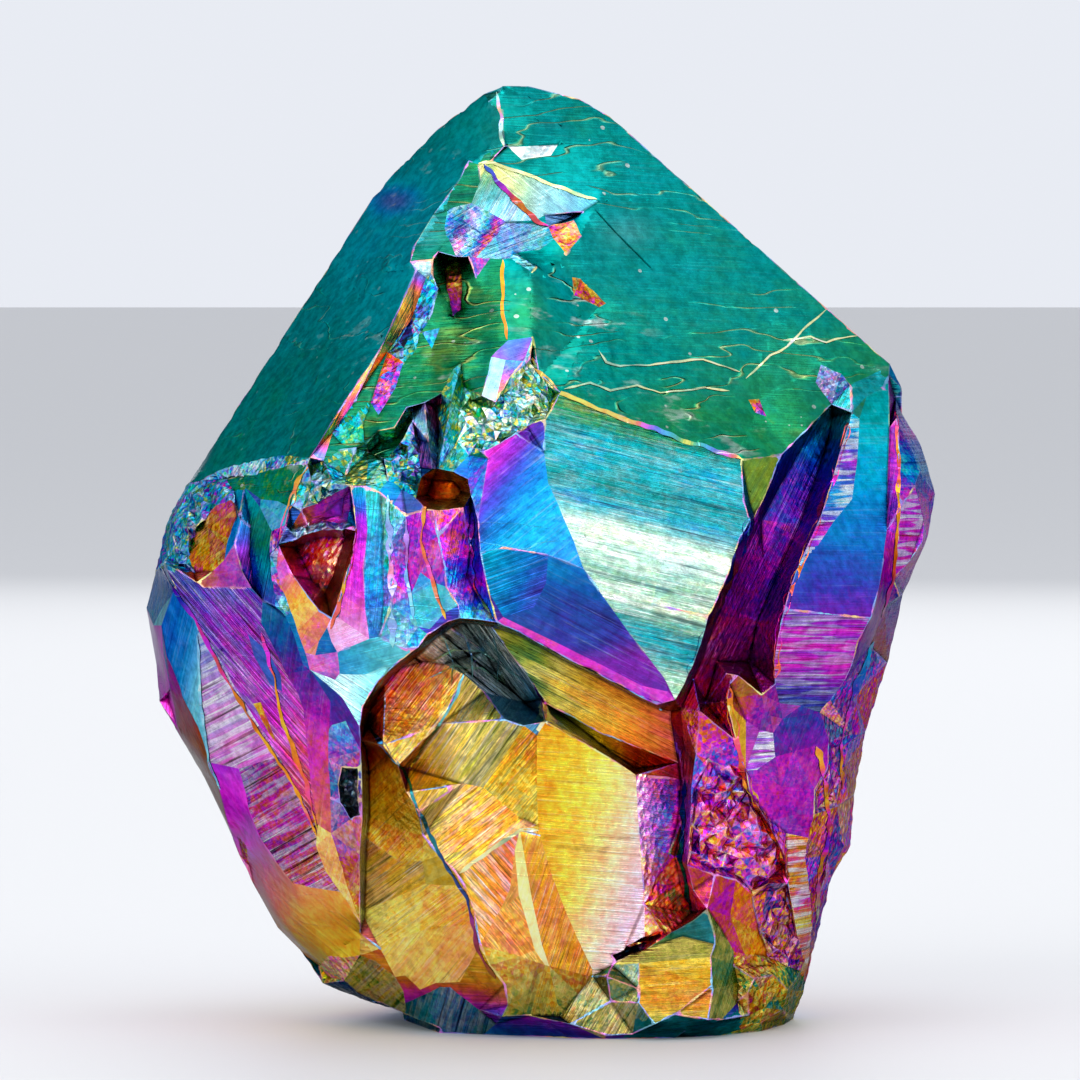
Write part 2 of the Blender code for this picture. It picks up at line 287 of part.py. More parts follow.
    ("blue side face, lower edge", 0, [(82.0, 32.2), (80.0, 33.0), (77.8, 33.4)]),
    ("blue side face, colour step", -0.6, [(77.9, 43.0), (82.0, 42.4), (87.0, 41.7)]),
    ("grey strip, right edge", 0.6, [(90.2, 63.4), (90.2, 60.4), (90.2, 56.4), (90.1, 52.4), (90.0, 49.4),
        (89.6, 45.4), (88.8, 42.4), (87.2, 38.6)]),
    ("bulge 1", -0.4, [(90.2, 60.4), (91.8, 57.6), (92.4, 56.0), (90.2, 56.4)]),
    ("bulge 2", -0.6, [(90.1, 52.4), (91.8, 54.6), (92.4, 56.0)]),
    ("bulge 3", 0.3, [(91.8, 54.6), (92.8, 51.0), (91.4, 47.2), (89.6, 45.4)]),
    ("bulge 4", 0.2, [(92.8, 51.0), (93.6, 52.6)]),
    ("right flank 1", 0.6, [(84.5, 35.4), (87.2, 38.6), (88.6, 36.6)]),
    ("right flank 2", -0.4, [(82.0, 32.2), (83.0, 29.2), (82.8, 26.4), (81.5, 24.4), (81.5, 21.9),
        (80.8, 19.6), (80.6, 17.4), (81.2, 14.4), (81.6, 10.4), (81.3, 5.4)]),
    ("right flank 3", 0.5, [(85.8, 33.6), (85.4, 29.6), (84.8, 26.4), (84.0, 22.4), (83.0, 17.4),
        (82.4, 13.4)]),
    ("right flank 4", -0.6, [(83.0, 29.2), (85.4, 29.6)]),
    ("right flank 5", -0.5, [(81.5, 21.9), (84.0, 22.4)]),
    ("gold strip, left edge", -0.6, [(78.6, 20.2), (78.8, 15.0), (79.4, 12.0), (80.0, 8.9), (80.8, 6.4)]),
    ("violet facet", -0.3, [(75.6, 26.8), (77.4, 28.0), (79.2, 28.4), (81.5, 24.4)]),
    ("violet facet, foot", -0.4, [(80.8, 19.6), (78.6, 20.2), (77.0, 21.6), (74.8, 24.6), (74.4, 26.8),
        (75.6, 26.8)]),
    ("violet facet, crease", -1.2, [(75.6, 26.8), (78.0, 25.0), (79.4, 22.0), (78.6, 20.2)]),
    ("orange spine", -1.4, [(74.4, 26.8), (74.8, 24.6), (77.0, 20.9), (78.4, 18.0)]),
    ("striped facet", -0.4, [(75.8, 30.8), (77.2, 30.4), (77.4, 28.0)]),
    ("striped facet, left", -0.8, [(75.8, 30.8), (74.4, 26.8)]),
    ("gold blade", -0.4, [(72.4, 33.8), (73.4, 29.9), (74.4, 26.8), (74.4, 31.8), (72.4, 33.8)]),
    ("blades under the hollow", 0.4, [(72.4, 36.6), (73.4, 34.2), (74.4, 31.8), (76.0, 34.4),
        (77.3, 35.4)]),
    ("blades under the hollow 2", -0.3, [(74.4, 31.8), (76.2, 33.0), (77.8, 33.4)]),
    ("blades under the hollow 3", 1.4, [(75.8, 30.8), (76.8, 32.2), (78.2, 31.8), (77.2, 30.4)]),
    ("pink line", -0.4, [(69.8, 32.9), (73.6, 36.4)]),
    ("crack, left", 2.6, [(68.0, 33.0), (68.4, 29.0), (68.4, 25.7), (68.1, 21.6), (67.4, 18.0), (68.0, 15.0),
        (69.0, 12.2)]),
    ("crack, right", -0.2, [(68.0, 33.0), (69.4, 28.6), (69.0, 25.4), (68.9, 21.4), (68.6, 17.4),
        (69.2, 14.8), (69.8, 12.6)]),
    ("sparkly flank, lower edge", -0.8, [(68.6, 17.4), (71.4, 16.4), (73.5, 15.8), (75.2, 13.8),
        (76.8, 15.2), (78.8, 15.0)]),
    ("brown face, fold", -0.4, [(73.5, 15.8), (73.0, 12.0), (74.4, 8.0)]),
    ("brown face, right fold", 0.6, [(75.2, 13.8), (76.0, 10.0), (77.0, 7.4)]),

    ("little crystal, crest", -2.6, [(70.6, 13.0), (71.4, 10.5), (71.0, 8.2), (71.2, 5.0), (70.7, 2.0)]),
    ("little crystal, left slope", -0.4, [(70.6, 13.0), (69.2, 11.8), (67.0, 10.6), (64.6, 9.0), (61.2, 7.4),
        (59.2, 6.2), (57.8, 4.4), (56.0, 2.2)]),
    ("little crystal, right slope", -0.4, [(70.6, 13.0), (71.8, 11.2), (72.6, 9.8), (73.2, 8.4), (74.4, 8.0),
        (75.5, 7.8), (77.0, 7.4), (79.0, 6.2), (80.4, 5.4)]),
    ("little crystal, cap edge", -3.6, [(61.2, 7.4), (63.8, 7.6), (71.0, 8.2)]),
    ("little crystal, cap step", -1.8, [(64.6, 9.0), (68.2, 10.2), (71.4, 9.4)]),
    ("little crystal, left edge", -4.0, [(63.8, 7.6), (63.8, 3.8), (64.8, 2.4), (65.4, 1.7)]),
    ("little crystal, front step", -4.2, [(63.8, 5.2), (71.1, 5.4)]),
    ("little crystal, foot", -3.8, [(65.4, 1.7), (67.4, 2.6), (70.7, 2.0), (72.0, 1.8), (73.8, 3.4)]),
    ("little crystal, side face", -0.6, [(72.6, 9.8), (73.4, 7.0), (73.8, 5.2), (73.8, 3.4)]),
    ("little crystal, slab", -3.0, [(66.8, 1.8), (67.4, 2.6)]),
    ("little crystal, slab foot", -2.6, [(66.2, 1.2), (68.4, 0.7), (71.2, 0.9), (72.0, 1.8)]),
    ("little crystal, shell scar", -1.4, [(60.6, 6.4), (61.0, 3.8), (63.8, 3.8)]),
    ("little crystal, shell foot", -2.0, [(57.0, 1.6), (60.6, 0.4), (63.2, 0.5), (65.4, 1.7)]),
    ("druse hole", 1.4, [(60.8, 8.2), (63.0, 9.4), (65.2, 9.9), (64.6, 9.0)]),
    ("druse hole, top", 0.2, [(61.6, 8.8), (64.4, 10.2), (66.2, 10.6)]),
    ("nodule", -1.8, [(74.8, 4.2), (75.4, 5.6), (77.4, 5.8), (79.0, 4.0), (78.4, 2.0), (76.2, 0.9),
        (74.9, 1.9), (74.8, 4.2)]),
    ("nodule, cap", -3.2, [(76.0, 4.4), (77.6, 3.8), (76.6, 2.4), (76.0, 4.4)]),
    ("gold stripe", -0.8, [(73.4, 7.0), (77.4, 6.6)]),
]

# rough ground: pitch of its grains, their height, how deep it lies, outline
frontPatches = [
    ("crumbly patch", 0.75, 0.5, 0.2, [(46.5, 64.8), (48.2, 64.0), (49.6, 63.4), (51.2, 66.0), (53.2, 67.6),
        (53.8, 66.5), (56.0, 64.3), (54.5, 61.8), (51.6, 60.4), (48.3, 58.6), (47.0, 58.2), (45.8, 59.5),
        (46.0, 62.5)]),
    ("granular shoulder", 0.75, 0.5, -0.2, [(16.6, 50.8), (18.2, 53.6), (19.4, 54.6), (22.6, 55.4),
        (23.4, 54.2), (23.4, 53.4), (21.6, 52.8), (20.4, 51.4), (19.2, 49.8), (18.8, 47.8), (19.4, 46.2),
        (17.6, 46.8), (16.4, 47.4)]),
    ("grains between the pits", 0.6, 0.35, -0.1, [(29.4, 50.6), (29.4, 51.0), (31.0, 51.3), (32.5, 51.7),
        (35.0, 51.6), (35.6, 51.2), (34.5, 50.8), (32.5, 50.8), (31.0, 50.4), (30.0, 49.8)]),
    ("grains over pit 1", 0.6, 0.4, 0.0, [(30.4, 52.8), (31.4, 55.6), (33.4, 55.8), (35.2, 55.3),
        (33.5, 54.2), (32.0, 53.4)]),
    ("splintered ground", 0.8, 0.5, 0.4, [(38.6, 57.8), (40.2, 59.4), (41.4, 61.4), (42.0, 59.5),
        (42.2, 57.0), (42.3, 56.1), (41.8, 54.1), (40.4, 54.8), (39.0, 55.8)]),
    ("druse in the strip", 0.6, 0.45, 1.4, [(34.4, 27.2), (36.0, 27.2), (36.1, 22.4), (35.2, 22.0),
        (34.2, 23.6), (34.0, 25.4)]),
    ("sparkly flank", 0.85, 0.45, 0.0, [(69.4, 25.0), (70.6, 28.0), (72.8, 27.4), (74.2, 26.0), (74.6, 24.4),
        (76.8, 20.8), (78.2, 18.0), (78.5, 15.6), (76.8, 15.6), (75.2, 14.4), (73.5, 16.2), (71.4, 16.9),
        (69.0, 18.0), (69.2, 21.4)]),
    ("lower right ground", 0.9, 0.4, 0.0, [(76.6, 14.2), (78.7, 14.4), (79.2, 12.0), (79.6, 9.2),
        (79.0, 7.0), (77.4, 7.8), (76.2, 10.0)]),
    ("right flank ground", 0.9, 0.45, 0.0, [(83.2, 28.4), (85.2, 28.8), (84.6, 26.4), (83.8, 22.8),
        (81.8, 22.4), (81.8, 24.2), (83.1, 26.4)]),
    ("black druse", 0.6, 0.4, 1.0, [(61.2, 8.3), (63.0, 9.2), (64.6, 9.6), (64.2, 8.9), (61.6, 7.7)]),
]

backLines = [
    ("back apex ridge", 0, [(50.6, 94.2), (49.2, 88.0), (46.0, 78.0), (41.0, 66.0), (38.0, 60.0)]),
    ("back right ridge", 0, [(53.2, 94.0), (60.0, 82.0), (66.0, 71.0), (72.0, 61.0)]),
    ("back shoulder", -0.6, [(23.2, 58.8), (30.0, 56.0), (34.0, 58.5), (38.0, 60.0), (46.0, 56.0),
        (52.0, 57.4), (58.0, 54.0), (65.0, 58.0), (72.0, 61.0), (80.0, 60.0), (88.4, 64.8)]),
    ("back ledge foot", 2.0, [(39.0, 58.0), (46.0, 54.2), (52.0, 55.4), (58.0, 52.2), (64.0, 55.6)]),
    ("back ridge 1", -1.0, [(38.0, 60.0), (36.5, 50.0), (36.0, 40.0), (34.0, 28.0), (33.0, 18.0),
        (35.0, 8.0), (40.0, 0.0)]),
    ("back ridge 2", -0.8, [(58.0, 54.0), (58.0, 46.0), (56.4, 36.0), (58.4, 24.0), (60.0, 14.0),
        (58.0, 0.0)]),
    ("back ridge 3", -1.0, [(72.0, 61.0), (74.0, 50.0), (73.6, 40.0), (76.0, 28.0), (76.4, 16.0),
        (75.0, 0.0)]),
    ("back step 1", 0.6, [(36.0, 40.0), (44.0, 43.0), (50.0, 40.6), (56.4, 36.0)]),
    ("back step 1 foot", 2.4, [(36.6, 38.2), (44.0, 41.2), (50.0, 38.8), (55.6, 34.8)]),
    ("back step 2", 0.2, [(56.4, 36.0), (63.0, 32.0), (70.0, 35.0), (73.6, 40.0)]),
    ("back step 2 foot", 1.8, [(58.4, 33.2), (63.0, 30.4), (70.0, 33.2), (73.2, 37.4)]),
    ("back left blade", -0.6, [(17.4, 51.4), (22.0, 44.0), (25.0, 34.0), (26.0, 24.0), (28.0, 12.0)]),
    ("back left groove", 1.6, [(23.2, 58.8), (27.0, 46.0), (30.0, 34.0), (30.0, 22.0), (33.0, 18.0)]),
    ("back left step", -0.2, [(16.2, 40.0), (20.0, 38.0), (25.0, 34.0)]),
    ("back left step 2", -0.2, [(25.0, 34.0), (30.0, 34.0)]),
    ("back right blade", -0.4, [(89.0, 58.0), (84.0, 50.0), (82.0, 40.0), (83.0, 28.0), (82.0, 14.0)]),
    ("back right groove", 1.4, [(80.0, 60.0), (79.0, 48.0), (78.6, 36.0), (79.4, 22.0), (78.6, 10.0)]),
    ("back right step", -0.4, [(82.0, 40.0), (86.0, 39.0), (90.0, 42.0)]),
    ("shell scar, rim", -0.2, [(44.0, 30.0), (48.0, 33.0), (53.0, 31.0), (54.4, 25.0), (51.0, 20.4),
        (46.0, 20.0), (43.0, 25.0), (44.0, 30.0)]),
    ("shell scar, ring 1", 1.6, [(46.0, 28.6), (49.0, 30.0), (51.6, 28.0), (51.4, 24.6), (48.4, 23.0),
        (45.8, 24.8), (46.0, 28.6)]),
    ("shell scar, ring 2", 2.6, [(48.0, 27.4), (49.6, 27.0), (49.0, 25.4), (48.0, 27.4)]),
    ("back foot crystal 1", -3.4, [(64.0, 20.0), (62.4, 14.0), (62.6, 6.0), (63.0, 0.0)]),
    ("back foot crystal 2", -4.2, [(66.6, 22.0), (67.4, 14.0), (67.6, 6.0), (67.4, 0.0)]),
    ("back foot crystal 3", -2.8, [(69.6, 19.0), (71.6, 13.0), (71.4, 6.0), (71.2, 0.0)]),
    ("back foot crystal, tip", -3.0, [(64.0, 20.0), (66.6, 22.0), (69.6, 19.0)]),
    ("back foot crystal, foot line", 0.6, [(61.0, 12.0), (62.6, 20.6), (66.8, 24.4), (71.0, 20.0),
        (73.2, 12.0)]),
    ("back left foot crystal", -2.8, [(40.0, 14.0), (38.6, 8.0), (39.6, 2.0)]),
    ("back left foot crystal, crest", -3.8, [(43.0, 17.0), (43.4, 9.0), (43.6, 0.0)]),
    ("back left foot crystal, side", -2.4, [(46.0, 13.0), (47.4, 6.0), (47.0, 0.0)]),
    ("back left foot crystal, tip", -2.8, [(40.0, 14.0), (43.0, 17.0), (46.0, 13.0)]),
    ("back left foot crystal, foot line", 0.4, [(37.4, 9.0), (39.0, 15.4), (43.0, 19.4), (47.6, 14.0),
        (49.0, 5.0)]),
    ("back foot band", 0.2, [(49.0, 8.0), (53.0, 10.0), (60.0, 8.6)]),
    ("back face chip 1", 0.9, [(52.0, 78.0), (55.0, 79.0), (54.4, 75.6), (52.0, 78.0)]),
    ("back face chip 2", 0.8, [(44.0, 66.0), (47.0, 67.4), (47.0, 64.4), (44.0, 66.0)]),
    ("back face growth step", -0.5, [(46.0, 78.0), (52.0, 72.0), (58.0, 71.0), (66.0, 71.0)]),
    ("back face growth step foot", 0.3, [(46.4, 76.6), (52.0, 70.9), (58.0, 69.9), (65.6, 69.8)]),
    ("back right face step", -0.4, [(66.0, 71.0), (73.0, 73.0), (78.0, 75.0)]),
    ("back left face step", -0.3, [(41.0, 66.0), (34.0, 69.0), (30.0, 71.0)]),
    ("middle prism line", -0.3, [(46.0, 54.2), (47.0, 48.0), (44.0, 43.0)]),
    ("middle prism line 2", -0.3, [(66.0, 50.0), (65.0, 42.0), (63.0, 32.0)]),
    ("middle prism line 3", -0.3, [(64.0, 55.6), (66.0, 50.0), (74.0, 50.0)]),
]

backPatches = [
    ("back crumbly band", 1.0, 0.5, 0.2, [(60.0, 50.0), (64.0, 51.0), (65.4, 45.0), (63.6, 38.0),
        (60.0, 40.0)]),
    ("back shoulder grains", 0.9, 0.45, 0.2, [(28.0, 54.0), (33.0, 55.0), (35.4, 52.0), (33.0, 46.0),
        (29.4, 46.0)]),
    ("back flank grains", 1.0, 0.45, 0.2, [(77.0, 26.0), (78.4, 32.0), (82.0, 32.0), (82.4, 24.0),
        (80.0, 16.0), (77.4, 18.0)]),
    ("back foot grains", 0.9, 0.4, 0.2, [(50.0, 16.0), (56.0, 17.0), (57.4, 11.6), (52.6, 11.4)]),
]


def bodyAt(z):
    rows = np.array(body, float)
    return [np.interp(z, rows[:, 0], rows[:, k]) for k in (1, 2, 3)]


def formDepth(x, z, side):
    # side is -1 for the front and +1 for the back
    left, right, bulge = bodyAt(z)
    across = min(1.0, abs(x - (left + right) / 2) / ((right - left) / 2))
    roundness = (1 - across ** 2.2) ** 0.5
    if side < 0:
        return max([-bulge * roundness] + [a + b * x + c * z for a, b, c in frontPlanes])
    return min([backDepth / 34 * bulge * roundness] + [a + b * x + c * z for a, b, c in backPlanes])


def inside(x, z, outline):
    hit = False
    for (x0, z0), (x1, z1) in zip(outline, outline[1:] + outline[:1]):
        if (z0 > z) != (z1 > z) and x < (x1 - x0) * (z - z0) / (z1 - z0) + x0:
            hit = not hit
    return hit


def nearRim(x, z):
    # distance to the outline, and the outline's depth there
    best = (1e9, 0.0)
    for (x0, z0, y0), (x1, z1, y1) in zip(rim, rim[1:] + rim[:1]):
        along = ((x - x0) * (x1 - x0) + (z - z0) * (z1 - z0)) / ((x1 - x0) ** 2 + (z1 - z0) ** 2)
        along = min(1.0, max(0.0, along))
        gap = ((x - x0 - along * (x1 - x0)) ** 2 + (z - z0 - along * (z1 - z0)) ** 2) ** 0.5
        if gap < best[0]:
            best = (gap, y0 + along * (y1 - y0))
    return best


def bandPoints(outline, width):
    # one point just inside each corner of the outline
    found = []
    flat = [(p[0], p[1]) for p in outline]
    for before, here, after in zip(flat[-1:] + flat[:-1], flat, flat[1:] + flat[:1]):
        way = Vector(after) - Vector(before)
        inward = Vector((way.y, -way.x)).normalized()
        point = Vector(here) + inward * width
        found.append((point.x, point.y))
    return found


def grainPoints(patch, seed):
    name, pitch, height, sink, outline = patch
    chance = random.Random(seed)
    xs = [p[0] for p in outline]
    zs = [p[1] for p in outline]
    found = []
    z = min(zs)
    while z < max(zs):
        x = min(xs)
        while x < max(xs):
            px = x + chance.uniform(-0.32, 0.32) * pitch
            pz = z + chance.uniform(-0.32, 0.32) * pitch
            if inside(px, pz, outline):
                found.append((px, pz, sink + chance.uniform(-height, height)))
            x += pitch
        z += pitch
    return found


def sheet(lines, patches, side):
    # lays the ridge lines over the outline and settles every facet as flat as its corners allow
    flatRim = [(p[0], p[1]) for p in rim]
    points = list(flatRim)
    relief = [None] * len(points)
    edges = []
    for name, sink, run in lines:
        for k, (x, z) in enumerate(run):
            points.append((x, z))
            relief.append(sink)
            if k:
                edges.append((len(points) - 2, len(points) - 1))
    for seed, patch in enumerate(patches):
        outline = patch[4]
        for k, (x, z) in enumerate(outline):
            points.append((x, z))
            relief.append(None)
            if k:
                edges.append((len(points) - 2, len(points) - 1))
        edges.append((len(points) - len(outline), len(points) - 1))
        for x, z, sink in grainPoints(patch, seed):
            points.append((x, z))
            relief.append(sink)
    for width, space in rimBands:
        for x, z in bandPoints(rim, width):
            near = min((Vector((x, z)) - Vector(p)).length for p in points[len(rim):])
            if near > space and inside(x, z, flatRim):
                points.append((x, z))
                relief.append(0.0)
    face = [list(range(len(rim)))[::-1]]
    flat = [Vector(p) for p in points]
    spots, ways, tris, spotFrom, wayFrom, triFrom = delaunay_2d_cdt(flat, edges, face, 1, snap)
    tris = [tuple(t) for t, source in zip(tris, triFrom) if source]
    ridge = {tuple(sorted(w)) for w, source in zip(ways, wayFrom) if source}
    xs = np.array([p.x for p in spots])
    zs = np.array([p.y for p in spots])

    # regions: triangles joined across every edge that is not a ridge
    owner = {}
    for k, t in enumerate(tris):
        for a, b in zip(t, t[1:] + t[:1]):
            owner.setdefault(tuple(sorted((a, b))), []).append(k)
    region = [-1] * len(tris)
    count = 0
    for start in range(len(tris)):
        if region[start] >= 0:
            continue
        stack = [start]
        region[start] = count
        while stack:
            t = tris[stack.pop()]
            for a, b in zip(t, t[1:] + t[:1]):
                key = tuple(sorted((a, b)))
                if key in ridge:
                    continue
                for other in owner[key]:
                    if region[other] < 0:
                        region[other] = count
                        stack.append(other)
        count += 1

    # depth of every corner: flat facets against the corner's own relief
    size = len(spots)
    want = np.array([formDepth(x, z, side) for x, z in zip(xs, zs)])
    pull = np.full(size, loosePull)
    for k, sources in enumerate(spotFrom):
        own = [relief[s] for s in sources if relief[s] is not None]
        if own:
            want[k] -= side * reliefScale * sum(own) / len(own)
            pull[k] = reliefPull
    for k, sources in enumerate(spotFrom):
        for s in sources:
            if s < len(rim):
                want[k] = rim[s][2]
                pull[k] = 100.0
    outlines = [patch[4] for patch in patches]
    matrix = np.diag(pull ** 2)
    members = {}
    for t, r in zip(tris, region):
        members.setdefault(r, []).append(t)
    for group in members.values():
        used = sorted({v for t in group for v in t})
        if len(used) < 4:
            continue
        middle = (float(np.mean(xs[used])), float(np.mean(zs[used])))
        if any(inside(*middle, outline) for outline in outlines):
            continue
        plane = np.column_stack([np.ones(len(used)), xs[used], zs[used]])
        away = np.eye(len(used)) - plane @ np.linalg.pinv(plane)
        if np.abs(away @ want[used]).mean() > mostBend:
            continue
        matrix[np.ix_(used, used)] += flatPull ** 2 * away
    depth = np.linalg.solve(matrix, pull ** 2 * want)
    corner = [next((s for s in sources if s < len(rim)), -1) for sources in spotFrom]
    for k in range(size):
        gap, edgeDepth = nearRim(xs[k], zs[k])
        if corner[k] < 0 and gap < edgeBand:
            out = side * (depth[k] - edgeDepth)
            depth[k] = edgeDepth + side * max(out, edgeSlope * gap)
    return xs, zs, depth, tris, corner


def buildCrystal():
    mesh = bmesh.new()
    shared = [mesh.verts.new(((x - datumX) * mm, y * mm, z * mm)) for x, z, y in rim]
    for lines, patches, side in ((frontLines, frontPatches, -1), (backLines, backPatches, 1)):
        xs, zs, depth, tris, corner = sheet(lines, patches, side)
        verts = []
        for x, y, z, c in zip(xs, depth, zs, corner):
            if c >= 0:
                verts.append(shared[c])
            else:
                verts.append(mesh.verts.new(((x - datumX) * mm, y * mm, z * mm)))
        for t in tris:
            mesh.faces.new([verts[v] for v in t])
    bmesh.ops.recalc_face_normals(mesh, faces=mesh.faces)
    # the origin is under the middle of the piece
    ys = [v.co.y for v in mesh.verts]
    for v in mesh.verts:
        v.co.y -= (min(ys) + max(ys)) / 2
    # the piece was sawn off level, so it stands on a flat base
    bmesh.ops.bisect_plane(mesh, geom=mesh.verts[:] + mesh.edges[:] + mesh.faces[:], dist=1e-6,
                           plane_co=(0, 0, 0), plane_no=(0, 0, 1), clear_inner=True)
    bare = [e for e in mesh.edges if e.is_boundary]
    bmesh.ops.holes_fill(mesh, edges=bare, sides=0)
    bmesh.ops.triangulate(mesh, faces=[f for f in mesh.faces if len(f.verts) > 3])
    bmesh.ops.recalc_face_normals(mesh, faces=mesh.faces)
    if mesh.calc_volume(signed=True) < 0:
        bmesh.ops.reverse_faces(mesh, faces=mesh.faces)
    data = bpy.data.meshes.new("crystal")
    mesh.to_mesh(data)
    mesh.free()
    crystal = bpy.data.objects.new("crystal", data)
    bpy.context.scene.collection.objects.link(crystal)
    return crystal


def coating():
    material = bpy.data.materials.new("aura coating")
    material.use_nodes = True
    shader = material.node_tree.nodes["Principled BSDF"]
    shader.inputs["Base Color"].default_value = (0.06, 0.35, 0.42, 1.0)
    shader.inputs["Metallic"].default_value = 0.85
    shader.inputs["Roughness"].default_value = 0.22
    return material


crystal = buildCrystal()
crystal.data.materials.append(coating())
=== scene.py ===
import math

import bmesh
import bpy
import numpy as np
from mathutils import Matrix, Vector, noise
from mathutils.bvhtree import BVHTree
from mathutils.kdtree import KDTree


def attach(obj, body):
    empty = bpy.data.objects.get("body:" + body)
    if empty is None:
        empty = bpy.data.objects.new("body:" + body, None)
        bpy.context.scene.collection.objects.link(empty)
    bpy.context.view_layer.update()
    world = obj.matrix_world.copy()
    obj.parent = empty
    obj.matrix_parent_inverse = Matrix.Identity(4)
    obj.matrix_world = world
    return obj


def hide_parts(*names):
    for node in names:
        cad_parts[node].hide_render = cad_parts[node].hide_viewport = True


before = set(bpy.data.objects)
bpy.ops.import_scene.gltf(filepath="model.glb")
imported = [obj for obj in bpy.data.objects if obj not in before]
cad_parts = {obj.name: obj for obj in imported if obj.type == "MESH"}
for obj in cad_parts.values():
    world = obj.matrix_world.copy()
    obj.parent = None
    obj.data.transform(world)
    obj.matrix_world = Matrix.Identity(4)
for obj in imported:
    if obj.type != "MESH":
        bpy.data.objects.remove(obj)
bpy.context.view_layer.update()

mm = 0.001
tableX = 54.15    # x of the middle of the crystal in the tables, mm

